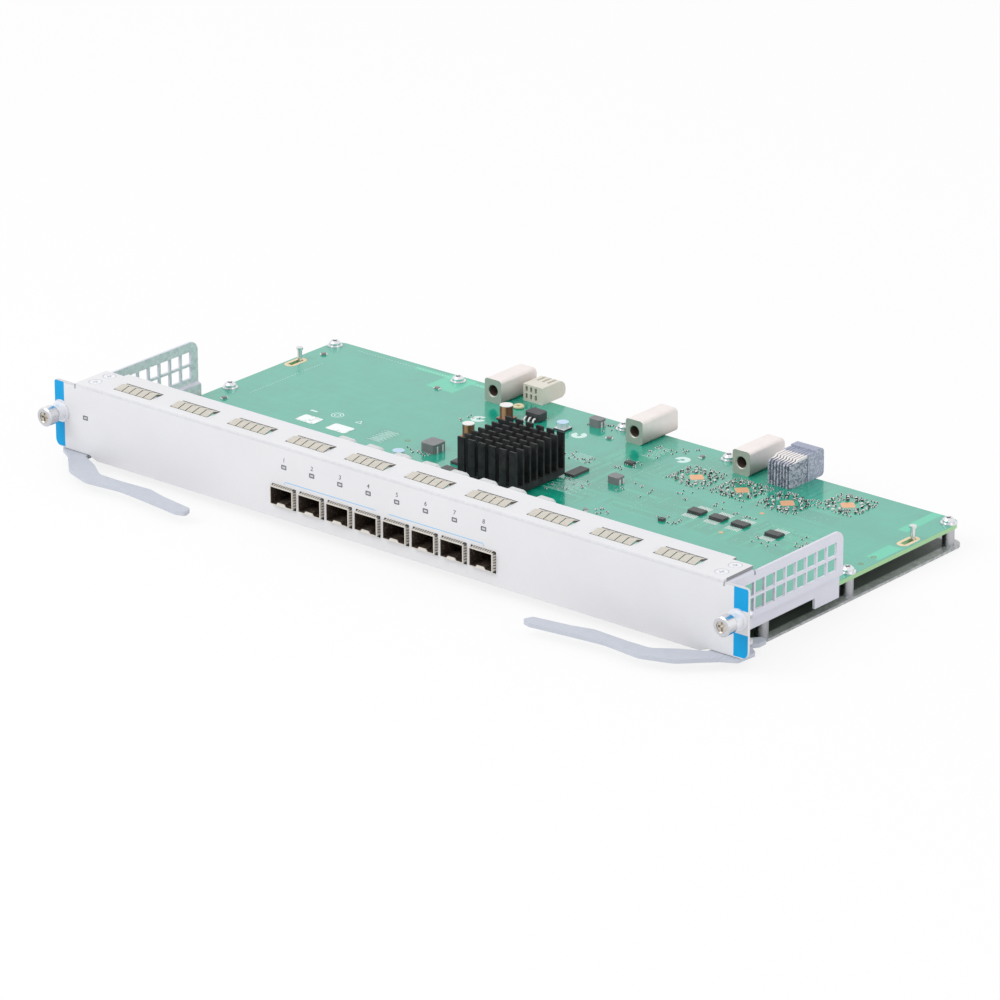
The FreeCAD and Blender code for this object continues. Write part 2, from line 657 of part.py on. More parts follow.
def sideBracket(label, sign):
    """Joggled side wall with two rows of square holes, a notch and a top tab."""
    body = newBody(label)
    prefix = "" if sign > 0 else "-"
    outer = dim("side_outer")
    lowOuter = "(Dims.side_outer - Dims.side_joggle)"
    thick = dim("side_thick")
    fold = dim("side_fold")
    start = face + " + Dims.sheet_thick + Dims.side_front_gap"

    def across(text):
        return "%s(%s)" % (prefix, text) if prefix else text

    wallSketch = newSketch(body, label + "_section", "XZ_Plane", "-(%s + Dims.side_rear)" % face)
    outline(wallSketch, [(across(x), z) for x, z in [
        (outer, dim("side_top")),
        (outer, fold),
        (lowOuter, fold + " - Dims.side_joggle / 2"),
        (lowOuter, dim("side_lower")),
        (lowOuter + " - " + thick, dim("side_lower")),
        (lowOuter + " - " + thick, fold + " - Dims.side_joggle / 2 + 0.4 * " + thick),
        (outer + " - " + thick, fold + " + 0.4 * " + thick),
        (outer + " - " + thick, dim("side_top")),
    ]])
    pad(body, label + "_wall", wallSketch, "Dims.side_rear - Dims.sheet_thick - Dims.side_front_gap")

    through = "Dims.side_outer + " + thick
    notchSketch = newSketch(body, label + "_notch_outline", "YZ_Plane", across(through))
    rectangle(notchSketch, face, "0", dim("side_notch_rear"), dim("side_notch_top"))
    reliefRear = "Dims.side_tab_depth + 3 * " + thick
    rectangle(notchSketch, face, flangeUnder, reliefRear, "2 * Dims.sheet_thick")
    rectangle(notchSketch, face + " + Dims.side_tab_depth", flangeUnder + " - 2 * " + thick,
              thick, "3 * " + thick)
    pocket(body, label + "_notch", notchSketch, "4 * " + thick + " + Dims.side_joggle", sign < 0)

    tabSketch = newSketch(body, label + "_tab_outline", "XY_Plane", flangeUnder + " - " + thick)
    tabInner = outer + " - Dims.side_tab"
    tabRear = face + " + Dims.side_tab_depth"
    outline(tabSketch, [(across(outer), start), (across(outer), tabRear),
                        (across(tabInner), tabRear), (across(tabInner), start)])
    pad(body, label + "_tab", tabSketch, thick)
    top = num(flangeUnder)
    bendAt = sign * num(outer)
    dress(body, "Fillet", label + "_bend", "0.9 * " + thick, lambda e: isLine(e, x=bendAt, z=top))

    gridSketch = newSketch(body, label + "_grid_outline", "YZ_Plane", across(through))
    for k in range(2):
        height = "Dims.grid_height + %d * Dims.grid_row_pitch" % k
        rectangle(gridSketch, face + " + Dims.grid_first", height, dim("grid_hole"), dim("grid_hole_height"))
    grid = pocket(body, label + "_grid", gridSketch, "4 * " + thick, sign < 0)
    repeat(body, label + "_grid_row", grid, gridSketch, "H_Axis", dim("grid_pitch"), dim("grid_columns"))

    rearEdge = num(face + " + Dims.side_rear")
    crown = num(dim("side_top"))
    dress(body, "Fillet", label + "_rear_corner", dim("side_corner"),
          lambda e: isLine(e, y=rearEdge, z=crown))

    holeSketch = newSketch(body, label + "_screw_holes", "XY_Plane", flangeUnder)
    for k in range(2):
        spot = face + " + Dims.flush_front + %d * Dims.flush_pitch" % k
        circle(holeSketch, across("Dims.flush_place"), spot, dim("flush_shank"))
    pocket(body, label + "_screw_cut", holeSketch, "2 * " + thick)


def standoffSpots():
    """Standoffs and board screws, from the middle and from the face, as expressions."""
    for x in ("(Dims.post_inset_left - Dims.plate_half)", "(Dims.plate_half - Dims.post_inset_right)"):
        for y in ("Dims.post_front", "Dims.post_middle", "Dims.post_rear"):
            yield x, y
    for x in ("Dims.post_left", "Dims.post_centre", "Dims.post_right"):
        yield x, "Dims.post_rear"


def basePlate():
    """Flat sheet whose front edge is raised in the middle to meet the panel's bottom flange."""
    body = newBody("base_plate")
    thick = dim("plate_thick")
    plateSketch = newSketch(body, "PlateOutline", "XY_Plane")
    outline(plateSketch, mirrored([
        (dim("plate_front_half"), face + " + Dims.plate_front"),
        (dim("plate_half"), face + " + Dims.plate_side_front"),
        (dim("plate_half"), face + " + Dims.plate_rear"),
    ]))
    pad(body, "Plate", plateSketch, thick)
    rearEdge = num(face + " + Dims.plate_rear")
    side = num(dim("plate_half"))
    dress(body, "Fillet", "PlateCorners", dim("plate_corner"),
          lambda e: any(isLine(e, x=end * side, y=rearEdge) for end in (-1, 1)))

    tongueSketch = newSketch(body, "TongueSection", "YZ_Plane", "-Dims.plate_tongue_half")
    flat = face + " + Dims.plate_front"
    rise = "(Dims.panel_lift - Dims.plate_thick)"
    lip = face + " + 2 * Dims.sheet_thick"
    outline(tongueSketch, [
        (flat + " + 1", "0"),
        (flat + " + 1", thick),
        (flat, thick),
        (flat + " - " + rise, dim("panel_lift")),
        (lip, dim("panel_lift")),
        (lip, rise),
        (flat + " - " + rise + " - 0.4 * " + thick, rise),
        (flat + " - 0.4 * " + thick, "0"),
    ])
    pad(body, "Tongue", tongueSketch, "2 * Dims.plate_tongue_half")

    holeSketch = newSketch(body, "PlateHoles", "XY_Plane", thick)
    for x, y in standoffSpots():
        circle(holeSketch, x, face + " + " + y, dim("standoff_spigot"))
    pocket(body, "PlateHoleCut", holeSketch, thick)
    footSketch = newSketch(body, "TongueHoles", "XY_Plane", dim("panel_lift"))
    for x, y in footSpots():
        circle(footSketch, x, y, dim("flush_hole"))
    pocket(body, "TongueHoleCut", footSketch, thick)
    low = num(rise)
    sink = "(Dims.flush_head - Dims.flush_hole) / 2 - 0.2"
    dress(body, "Chamfer", "TongueSinks", sink, lambda e: isRound(e, num(dim("flush_hole")) / 2, z=low))


def circuitBoard():
    """Board with its screw holes and a slot near each rear corner."""
    body = newBody("circuit_board")
    thick = dim("board_thick")
    boardSketch = newSketch(body, "BoardOutline", "XY_Plane", boardLow)
    outline(boardSketch, mirrored([
        (dim("board_half"), face + " + Dims.board_front"),
        (dim("board_half"), face + " + Dims.board_rear"),
    ]))
    pad(body, "Board", boardSketch, thick)
    rearEdge = num(face + " + Dims.board_rear")
    dress(body, "Fillet", "BoardCorners", dim("board_corner"),
          lambda e: isLine(e, y=rearEdge) and e.Length < 2 * num(thick))
    holeSketch = newSketch(body, "BoardHoles", "XY_Plane", boardTop)
    for x, y in standoffSpots():
        circle(holeSketch, x, face + " + " + y, dim("screw_hole"))
    for side in ("", "-"):
        rectangle(holeSketch, side + "Dims.slot_place - Dims.board_slot_width / 2",
                  face + " + Dims.slot_centre - Dims.board_slot_length / 2",
                  dim("board_slot_width"), dim("board_slot_length"))
    pocket(body, "BoardHoleCut", holeSketch, thick)


def standoffsAndScrews():
    """Pressed standoffs, the screws in them and the washers under the screws."""
    posts, screws, washers = [], [], []
    floor = num(dim("plate_thick"))
    low, top = num(boardLow), num(boardTop)
    bore = num(dim("screw_shank")) / 2
    up = FreeCAD.Vector(0, 0, 1)
    for x, y in standoffSpots():
        foot = FreeCAD.Vector(num(x), num(face + " + " + y), 0)
        post = Part.makeCylinder(num(dim("standoff_size")) / 2, low - floor, foot + up * floor)
        post = post.fuse(Part.makeCylinder(num(dim("standoff_spigot")) / 2, floor, foot)).removeSplitter()
        depth = num("Dims.screw_length + Dims.standoff_spare")
        posts.append(post.cut(Part.makeCylinder(bore, depth, foot + up * (low - depth))))
        seat = top + num(dim("washer_thick"))
        length = num(dim("screw_length"))
        shank = Part.makeCylinder(bore, length, foot + up * (seat - length))
        head = screwHead(foot + up * seat)
        screws.append(shank.fuse(head).removeSplitter())
        washer = Part.makeCylinder(num(dim("washer_size")) / 2, seat - top, foot + up * top)
        washers.append(washer.cut(Part.makeCylinder(bore, seat - top, foot + up * top)))
    group("standoffs", posts)
    group("board_screws", screws)
    group("board_washers", washers)


def screwHead(seat):
    """Pan head with a cross recess, standing on its seat."""
    size = num(dim("screw_head")) / 2
    crown = num(dim("screw_crown")) / 2
    tall = num(dim("screw_head_height"))
    rim = num(dim("screw_rim"))
    shoulder = seat + FreeCAD.Vector(0, 0, rim)
    head = Part.makeCylinder(size, rim, seat).fuse(Part.makeCone(size, crown, tall - rim, shoulder))
    reach = num(dim("screw_recess"))
    slot = num(dim("screw_slot"))
    floor = seat.z + num(dim("screw_recess_floor"))
    for length, width in ((reach, slot), (slot, reach)):
        head = head.cut(block(seat.x, seat.y, floor, length, width, tall))
    return head.removeSplitter()


def flushScrews():
    """Countersunk screws: four in the top flange from above, four in the bottom flange from below."""
    screws = []
    head = num(dim("flush_head")) / 2
    sunk = num(dim("flush_sink"))
    shank = num(dim("flush_shank")) / 2
    length = num(dim("flush_length"))
    reach = num(dim("flush_slot_reach"))
    slot = num(dim("flush_slot"))
    depth = num(dim("flush_slot_depth"))

    def screw(x, y, z, direction, size):
        spot = FreeCAD.Vector(num(x), num(y), z)
        way = FreeCAD.Vector(0, 0, direction)
        top = Part.makeCone(size, shank, size - shank, spot, way)
        body = top.fuse(Part.makeCylinder(shank, length, spot, way)).removeSplitter()
        for long, wide in ((reach, slot), (slot, reach)):
            body = body.cut(block(spot.x, spot.y, spot.z - depth, long, wide, 2 * depth))
        return body

    for x, y in flushSpots():
        screws.append(screw(x, y, num(panelTop + " - Dims.flush_sink"), -1, head - 2 * sunk))
    for x, y in footSpots():
        screws.append(screw(x, y, num("Dims.panel_lift - Dims.plate_thick"), 1, head - 6 * sunk))
    group("flange_screws", screws)


def cages():
    """Module cages with the latch tongue at the mouth, and the host connectors in them."""
    wall = dim("cage_wall")
    mouth = face + " - Dims.cage_proud"
    for k in range(int(num(dim("port_count")))):
        name = "module_cage_%d" % (k + 1)
        body = newBody(name)
        left = portCentre(k) + " - Dims.cage_width / 2"
        shell = newSketch(body, name + "_outline", "XY_Plane", boardTop)
        rectangle(shell, left, mouth, dim("cage_width"), dim("cage_depth"))
        pad(body, name + "_block", shell, dim("cage_height"))
        inside = newSketch(body, name + "_inside", "XZ_Plane", "-(%s)" % mouth)
        rectangle(inside, left + " + " + wall, boardTop + " + " + wall,
                  "Dims.cage_width - 2 * " + wall, "Dims.cage_height - 2 * " + wall)
        pocket(body, name + "_hollow", inside, "Dims.cage_depth - " + wall)
        tongue = newSketch(body, name + "_tongue", "XZ_Plane", "-(%s)" % mouth)
        wide = "Dims.latch_width / 2"
        low = boardTop + " + " + wall
        outline(tongue, [
            (portCentre(k) + " - " + wide, low),
            (portCentre(k) + " + " + wide, low),
            (portCentre(k) + " + 0.7 * " + wide, low + " + Dims.latch_rise"),
            (portCentre(k) + " - 0.7 * " + wide, low + " + Dims.latch_rise"),
        ])
        pad(body, name + "_latch", tongue, dim("latch_length"), True)

    hosts = []
    rear = num(mouth + " + Dims.cage_depth - " + wall)
    floor = num(boardTop + " + " + wall)
    for k in range(int(num(dim("port_count")))):
        length = num(dim("host_length"))
        centre = num(portCentre(k))
        tall = num(dim("host_height"))
        housing = block(centre, rear - length / 2, floor, num(dim("host_width")), length, tall)
        opening = block(centre, rear - 0.8 * length, floor + 0.4 * tall,
                        0.8 * num(dim("host_width")), 0.41 * length, 0.22 * tall)
        hosts.append(housing.cut(opening))
    group("host_connectors", hosts)


def lightPipes():
    """Clear pipes from the lamps on the board to the windows, one to a port and one for status."""
    wide = "(Dims.window_width - 2 * Dims.pipe_clearance)"
    tall = "(Dims.window_height - 2 * Dims.pipe_clearance)"
    leg = dim("pipe_leg")

    def pipe(name, centre, height, run, foot):
        body = newBody(name)
        side = newSketch(body, name + "_side", "YZ_Plane", "%s - %s / 2" % (centre, wide))
        low = "(%s - %s / 2)" % (height, tall)
        high = "(%s + %s / 2)" % (height, tall)
        rear = "(%s + %s)" % (face, run)
        outline(side, [
            (face, low),
            (rear + " - " + leg, low),
            (rear + " - " + leg, foot),
            (rear, foot),
            (rear, high),
            (face, high),
        ])
        pad(body, name + "_run", side, wide)
        return body, rear, high

    for k in range(int(num(dim("port_count")))):
        name = "light_pipe_%d" % (k + 1)
        centre = "(%s + Dims.window_shift)" % portCentre(k)
        foot = "(%s + Dims.cage_height)" % boardTop
        body, rear, high = pipe(name, centre, dim("window_height_place"), dim("pipe_run"), foot)
        left = "(%s - Dims.pipe_offset - (Dims.pipe_foot + Dims.pipe_arch) / 2)" % centre
        crown = "(%s + Dims.pipe_crown)" % high
        end = newSketch(body, name + "_foot", "XZ_Plane", "-%s" % rear)
        rectangle(end, left, foot, "Dims.pipe_foot + Dims.pipe_arch", "%s - %s" % (crown, foot))
        pad(body, name + "_foot_block", end, leg)
        corner = num(crown)
        edges = [num(left), num("%s + Dims.pipe_foot + Dims.pipe_arch" % left)]
        dress(body, "Fillet", name + "_foot_round", "0.3 * Dims.pipe_arch",
              lambda e: isLine(e, x=edges[0], z=corner))
        dress(body, "Fillet", name + "_arch_round", "0.75 * Dims.pipe_arch",
              lambda e: isLine(e, x=edges[1], z=corner))
        gap = newSketch(body, name + "_arch_gap", "XZ_Plane", "-%s" % rear)
        reach = "0.8 * Dims.pipe_arch"
        rectangle(gap, left + " + Dims.pipe_foot", foot, reach, "%s - %s - %s" % (crown, foot, reach))
        pocket(body, name + "_arch_cut", gap, leg, True)
        top = num("%s - %s" % (crown, reach))
        right = num("%s + Dims.pipe_foot + %s" % (left, reach))
        dress(body, "Fillet", name + "_arch_inside", "0.5 * Dims.pipe_arch",
              lambda e: isLine(e, x=right, z=top))
    pipe("status_light_pipe", dim("status_place"), dim("status_height"), dim("status_run"),
         boardTop + " + Dims.pipe_gap")


def gasketStrips():
    """Springy finger strips under the slots: each finger is a ridge that stands out of the slot."""
    strips = []
    count = int(num(dim("slot_count")))
    fingers = int(num(dim("finger_count")))
    under = num(flangeUnder)
    ridge = num(panelTop) + num(dim("finger_rise"))
    thick = num(dim("finger_thick"))
    border = num(dim("strip_border"))
    near = num(face) + num(dim("slot_setback"))
    far = near + num(dim("slot_width"))
    length = num(dim("slot_length"))
    gap = num(dim("finger_gap"))
    foot = num(dim("finger_foot"))
    end = num(dim("finger_end"))
    crest = near + num(dim("finger_crest"))
    top = num(panelTop)
    rim = [(near - border, under), (near + foot, under), (near + 2 * foot, top), (crest, ridge),
           (far - 2 * foot, top), (far - foot, under), (far + border, under),
           (far + border, under - thick), (far - foot - thick, under - thick),
           (far - 2 * foot - thick, top - thick), (crest, ridge - 1.3 * thick),
           (near + 2 * foot + thick, top - thick), (near + foot + thick, under - thick),
           (near - border, under - thick)]
    slitFront = near + foot
    slitDepth = far - slitFront
    for k in range(count):
        centre = (k - (count - 1) / 2) * num(dim("slot_pitch"))
        left = centre - length / 2 - border
        points = [FreeCAD.Vector(left, y, z) for y, z in rim]
        sheetFace = Part.Face(Part.makePolygon(points + points[:1]))
        strip = sheetFace.extrude(FreeCAD.Vector(length + 2 * border, 0, 0))
        pitch = (length - 2 * end) / fingers
        for j in range(fingers + 1):
            x = centre - length / 2 + end + j * pitch
            wide = gap
            if j in (0, fingers):
                wide = border + end
                x += (-1 if j == 0 else 1) * wide / 2
            strip = strip.cut(block(x, slitFront + slitDepth / 2, under - thick,
                                    wide, slitDepth, ridge - under + 2 * thick))
        strips.append(strip)
    group("gasket_strips", strips)


def ejectorLever(label, sign):
    """Lever plate: claw behind the panel, root under the corner tab, arm in front of the panel."""
    body = newBody(label)
    prefix = "" if sign > 0 else "-"
    pivotY = "(%s + Dims.pivot_setback)" % face

    def spot(inward, back):
        return "%s(Dims.pivot_place - (%s))" % (prefix, inward), "%s + %s" % (pivotY, back)

    stand = "Dims.lever_stand"
    inner = "(Dims.lever_stand - Dims.lever_arm)"
    elbow = "Dims.lever_elbow"
    root = "Dims.lever_root"
    outlinePoints = [
        spot("-Dims.claw_reach", "0.3 * Dims.claw_mouth"),
        spot("-0.92 * Dims.claw_reach", "-1.05 * Dims.pivot_setback"),
        spot("-0.27 * Dims.claw_reach", "-1.48 * Dims.pivot_setback"),
        spot("0.06 * " + elbow, "-0.56 * " + stand),
        spot("0.42 * " + elbow, "-0.86 * " + stand),
        spot(elbow, "-(%s + 0.8)" % stand),
        spot("1.75 * " + elbow, "-(%s - 1.2)" % stand),
        spot(dim("lever_kink"), "-" + stand),
        spot("Dims.lever_reach - 5", "-(%s + Dims.lever_kick)" % stand),
        spot("Dims.lever_reach", "-(%s + Dims.lever_kick - 1.6)" % stand),
        spot("Dims.lever_reach - 2", "-(%s + Dims.lever_kick - Dims.lever_tip)" % stand),
        spot("Dims.lever_kink + 10", "-(%s + 2.4)" % inner),
        spot(dim("lever_kink"), "-(%s - 0.4)" % inner),
        spot("1.5 * " + elbow, "-(%s + 0.6)" % inner),
        spot("1.02 * " + elbow, "-(%s + 0.4)" % inner),
        spot("0.45 * %s + 0.4 * %s" % (elbow, root), "-0.52 * " + stand),
        spot("0.45 * " + root, "-0.34 * " + stand),
        spot("0.42 * " + root, "-0.2 * Dims.claw_rear"),
        spot("0.42 * " + root, "0.32 * Dims.claw_rear"),
        spot("0.05 * Dims.claw_rear", "0.75 * Dims.claw_rear"),
        spot("-0.15 * Dims.claw_rear", "Dims.claw_rear"),
        spot("-0.36 * Dims.claw_rear", "0.92 * Dims.claw_rear"),
        spot("-0.36 * Dims.claw_rear", "0.6 * Dims.claw_rear"),
        spot("-0.24 * Dims.claw_rear", "0.42 * Dims.claw_rear"),
        spot("-0.4 * Dims.claw_rear", "0.9 * Dims.claw_mouth"),
    ]
    plate = newSketch(body, label + "_outline", "XY_Plane", leverTop + " - Dims.lever_thick")
    outline(plate, outlinePoints)
    pad(body, label + "_plate", plate, dim("lever_thick"))

    def corner(*wanted):
        places = [(num(outlinePoints[k][0]), num(outlinePoints[k][1])) for k in wanted]
        return lambda e: any(isLine(e, x=x, y=y) for x, y in places)

    dress(body, "Fillet", label + "_elbow", "0.5 * " + elbow, corner(4, 5))
    dress(body, "Fillet", label + "_inside", "0.28 * " + elbow, corner(14, 15))
    dress(body, "Fillet", label + "_tip", "0.28 * Dims.lever_tip", corner(9, 10))
    dress(body, "Fillet", label + "_claw", "0.35 * Dims.claw_mouth", corner(0, 1, 20, 21))
    dress(body, "Fillet", label + "_waves", "1.2 * Dims.lever_arm", corner(6, 7, 12))

    holeSketch = newSketch(body, label + "_bore", "XY_Plane", leverTop)
    circle(holeSketch, prefix + "Dims.pivot_place", pivotY, "(Dims.rivet_size + 2 * Dims.rivet_clearance)")
    pocket(body, label + "_bore_cut", holeSketch, dim("lever_thick"))

    rivet = label.replace("ejector_", "") + "_rivet"
    x = prefix + "Dims.pivot_place"
    headTop = "(%s - Dims.lever_thick - Dims.rivet_play)" % leverTop
    shank = rod(rivet + "_shank", x, pivotY, headTop, dim("rivet_size"), "%s - %s" % (tabTop, headTop))
    head = rod(rivet + "_head", x, pivotY, headTop + " - Dims.rivet_head_thick",
               dim("rivet_head"), dim("rivet_head_thick"))
    peen = rod(rivet + "_peen", x, pivotY, tabTop, dim("rivet_peen"), dim("rivet_peen_thick"))
    keep(fuse(rivet, [shank, head, peen]), rivet)


def turned(label, profile, x, z):
    """Round piece about an axis along Y: the profile gives (distance behind the face, radius)."""
    body = newBody(label)
    section = newSketch(body, label + "_profile", "XY_Plane", z)
    outline(section, [("%s + %s" % (x, radius), "%s + %s" % (face, back)) for back, radius in profile])
    start = section.GeometryCount
    axisX = num(x)
    axisEnds = [FreeCAD.Vector(axisX, num(face) + step, 0) for step in (-5, 5)]
    section.addGeometry(Part.LineSegment(*axisEnds), True)
    bound = section.ConstraintCount
    section.addConstraint([
        Sketcher.Constraint("DistanceX", -1, 1, start, 1, axisX),
        Sketcher.Constraint("DistanceX", -1, 1, start, 2, axisX),
    ])
    section.setExpression("Constraints[%d]" % bound, x)
    section.setExpression("Constraints[%d]" % (bound + 1), x)
    turn = body.newObject("PartDesign::Revolution", label + "_turn")
    turn.Profile = section
    turn.ReferenceAxis = (section, ["Axis0"])
    turn.Angle = 360
    doc.recompute()
    return body


def captiveScrew(side, sign):
    """Captive screw: ferrule in the panel, sprung screw with its knob, and the ring that keeps it in."""
    x = "%sDims.captive_place_%s" % ("" if sign > 0 else "-", side)
    z = dim("captive_height")
    bore = "(Dims.captive_shank / 2 + Dims.captive_play)"
    neckFront = "-Dims.ferrule_neck_length"
    turned("ferrule_" + side, [
        (neckFront, "Dims.ferrule_neck / 2"),
        ("-Dims.ferrule_flange_thick", "Dims.ferrule_neck / 2"),
        ("-Dims.ferrule_flange_thick", "Dims.ferrule_flange / 2"),
        ("0", "Dims.ferrule_flange / 2"),
        ("0", "Dims.ferrule_tail / 2"),
        ("Dims.ferrule_tail_length", "Dims.ferrule_tail / 2"),
        ("Dims.ferrule_tail_length", bore),
        ("-Dims.ferrule_wall", bore),
        ("-Dims.ferrule_wall", "Dims.ferrule_neck / 2 - Dims.ferrule_wall"),
        (neckFront, "Dims.ferrule_neck / 2 - Dims.ferrule_wall"),
    ], x, z)

    knobFront = "-(Dims.knob_start + Dims.knob_length)"
    ringFront = "(Dims.ferrule_tail_length + 0.1)"
    ringRear = "(%s + Dims.ring_thick)" % ringFront
    shank = "Dims.captive_shank / 2"
    screw = turned("captive_screw_" + side, [
        (knobFront, "0"),
        (knobFront, "Dims.knob_size / 2 - Dims.knob_edge"),
        (knobFront + " + Dims.knob_edge", "Dims.knob_size / 2"),
        ("-Dims.knob_start", "Dims.knob_size / 2"),
        ("-Dims.knob_start", "Dims.knob_bore / 2"),
        ("-Dims.knob_start - Dims.knob_bore_depth", "Dims.knob_bore / 2"),
        ("-Dims.knob_start - Dims.knob_bore_depth", shank),
        (ringFront, shank),
        (ringFront, "Dims.ring_groove / 2"),
        (ringRear, "Dims.ring_groove / 2"),
        (ringRear, shank),
        ("Dims.captive_tip - Dims.captive_bevel", shank),
        ("Dims.captive_tip", shank + " - Dims.captive_bevel"),
        ("Dims.captive_tip", "0"),
    ], x, z)
    recess = newSketch(screw, "captive_recess_" + side, "XZ_Plane", "-(%s + %s)" % (face, knobFront))
    circle(recess, x, z, dim("knob_recess"))
    pocket(screw, "captive_recess_cut_" + side, recess, dim("knob_recess_depth"))
    cross = newSketch(screw, "captive_cross_" + side, "XZ_Plane", "-(%s + %s)" % (face, knobFront))
    reach = dim("cross_reach")
    slim = dim("cross_half")
    outline(cross, [("%s %s %s" % (x, a, b), "%s %s %s" % (z, c, d)) for a, b, c, d in [
        ("-", slim, "-", reach), ("+", slim, "-", reach), ("+", slim, "-", slim), ("+", reach, "-", slim),
        ("+", reach, "+", slim), ("+", slim, "+", slim), ("+", slim, "+", reach), ("-", slim, "+", reach),
        ("-", slim, "+", slim), ("-", reach, "+", slim), ("-", reach, "-", slim), ("-", slim, "-", slim)]])
    pocket(screw, "captive_cross_cut_" + side, cross, dim("cross_depth"))

    near = face + " + " + ringFront
    thick = dim("ring_thick")
    ring = rod("ring_disc_" + side, x, near, z, dim("ring_size"), thick, "y")
    hole = rod("ring_hole_" + side, x, near, z, dim("ring_groove"), thick, "y")
    mouth = box("ring_mouth_" + side, x + " - 0.35 * Dims.ring_groove", near, z,
                "0.7 * Dims.ring_groove", thick, dim("ring_size"))
    label = "retaining_ring_" + side
    keep(cut(label, ring, fuse("ring_opening_" + side, [hole, mouth])), label)

    low = num("-Dims.ferrule_wall")
    high = num("-Dims.knob_start - Dims.knob_bore_depth")
    wire = num(dim("coil_wire"))
    turns = num(dim("coil_turns"))
    height = low - high - wire
    steps = int(coilSteps * turns)
    reach = num(dim("coil_size")) / 2
    path = []
    for k in range(steps + 1):
        angle = 2 * math.pi * k / coilSteps
        along = high + wire / 2 + height * k / steps
        path.append(FreeCAD.Vector(reach * math.cos(angle), along, reach * math.sin(angle)))
    section = Part.Wire([Part.makeCircle(wire / 2, path[0], path[1] - path[0])])
    spring = doc.addObject("Part::Feature", "captive_spring_" + side)
    spring.Shape = Part.makePolygon(path).makePipeShell([section], True, True, 1)
    spring.Placement.Base = FreeCAD.Vector(num(x), num(face), num(z))
    keep(spring, "captive_spring_" + side)


def guideBlock(name, place):
    """Guide block for a backplane pin: bored block with a rounded nose over the board's rear edge."""
    body = newBody(name)
    side = newSketch(body, name + "_side", "YZ_Plane", "%s - Dims.guide_width / 2" % place)
    front = face + " + Dims.guide_front"
    rectangle(side, front, boardTop, dim("guide_length"), dim("guide_height"))
    pad(body, name + "_block", side, dim("guide_width"))
    rear = num(front + " + Dims.guide_length")
    top = num(boardTop + " + Dims.guide_height")
    low = num(boardTop)
    dress(body, "Fillet", name + "_nose", dim("guide_nose"), lambda e: isLine(e, y=rear, z=top))
    dress(body, "Fillet", name + "_chin", "0.45 * Dims.guide_nose", lambda e: isLine(e, y=rear, z=low))
    left = num("%s - Dims.guide_width / 2" % place)
    right = num("%s + Dims.guide_width / 2" % place)
    dress(body, "Fillet", name + "_shoulders", "0.16 * Dims.guide_width",
          lambda e: isLine(e, x=left, z=top) or isLine(e, x=right, z=top))
    boreSketch = newSketch(body, name + "_bore", "XZ_Plane", "-(%s)" % front)
    circle(boreSketch, place, boardTop + " + Dims.guide_bore_height", dim("guide_bore"))
    pocket(body, name + "_bore_cut", boreSketch, dim("guide_length"))
    frontY = num(front)
    dress(body, "Chamfer", name + "_lead", "0.09 * Dims.guide_bore",
          lambda e: isRound(e, num(dim("guide_bore")) / 2, y=frontY))


def powerConnector():
    """Power connector: square front with contact slots, round rear end, ribs on its top."""
    body = newBody("power_connector")
    left = "(Dims.power_place - Dims.power_width / 2)"
    front = "(%s + Dims.power_front)" % face
    side = newSketch(body, "PowerSide", "YZ_Plane", left)
    rectangle(side, front, boardTop, dim("power_length"), dim("power_height"))
    pad(body, "PowerBlock", side, dim("power_width"))
    rear = num(front + " + Dims.power_length")
    top = num(boardTop + " + Dims.power_height")
    low = num(boardTop)
    dress(body, "Fillet", "PowerCrown", "0.56 * Dims.power_height", lambda e: isLine(e, y=rear, z=top))
    dress(body, "Fillet", "PowerChin", "0.36 * Dims.power_height", lambda e: isLine(e, y=rear, z=low))
    slots = newSketch(body, "PowerSlots", "XZ_Plane", "-(%s)" % front)
    for row in range(2):
        for column in range(3):
            rectangle(slots, "%s + (0.12 + 0.24 * %d) * Dims.power_width" % (left, column),
                      "%s + (0.16 + 0.42 * %d) * Dims.power_height" % (boardTop, row),
                      "0.11 * Dims.power_width", "0.3 * Dims.power_height")
    pocket(body, "PowerSlotCut", slots, "0.25 * Dims.power_length")
    grooves = newSketch(body, "PowerGrooves", "XY_Plane", boardTop + " + Dims.power_height")
    for k in range(3):
        rectangle(grooves, "%s + (0.16 + 0.27 * %d) * Dims.power_width" % (left, k),
                  front + " + 0.42 * Dims.power_length",
                  "0.13 * Dims.power_width", "0.6 * Dims.power_length")
    pocket(body, "PowerGrooveCut", grooves, "0.12 * Dims.power_height")


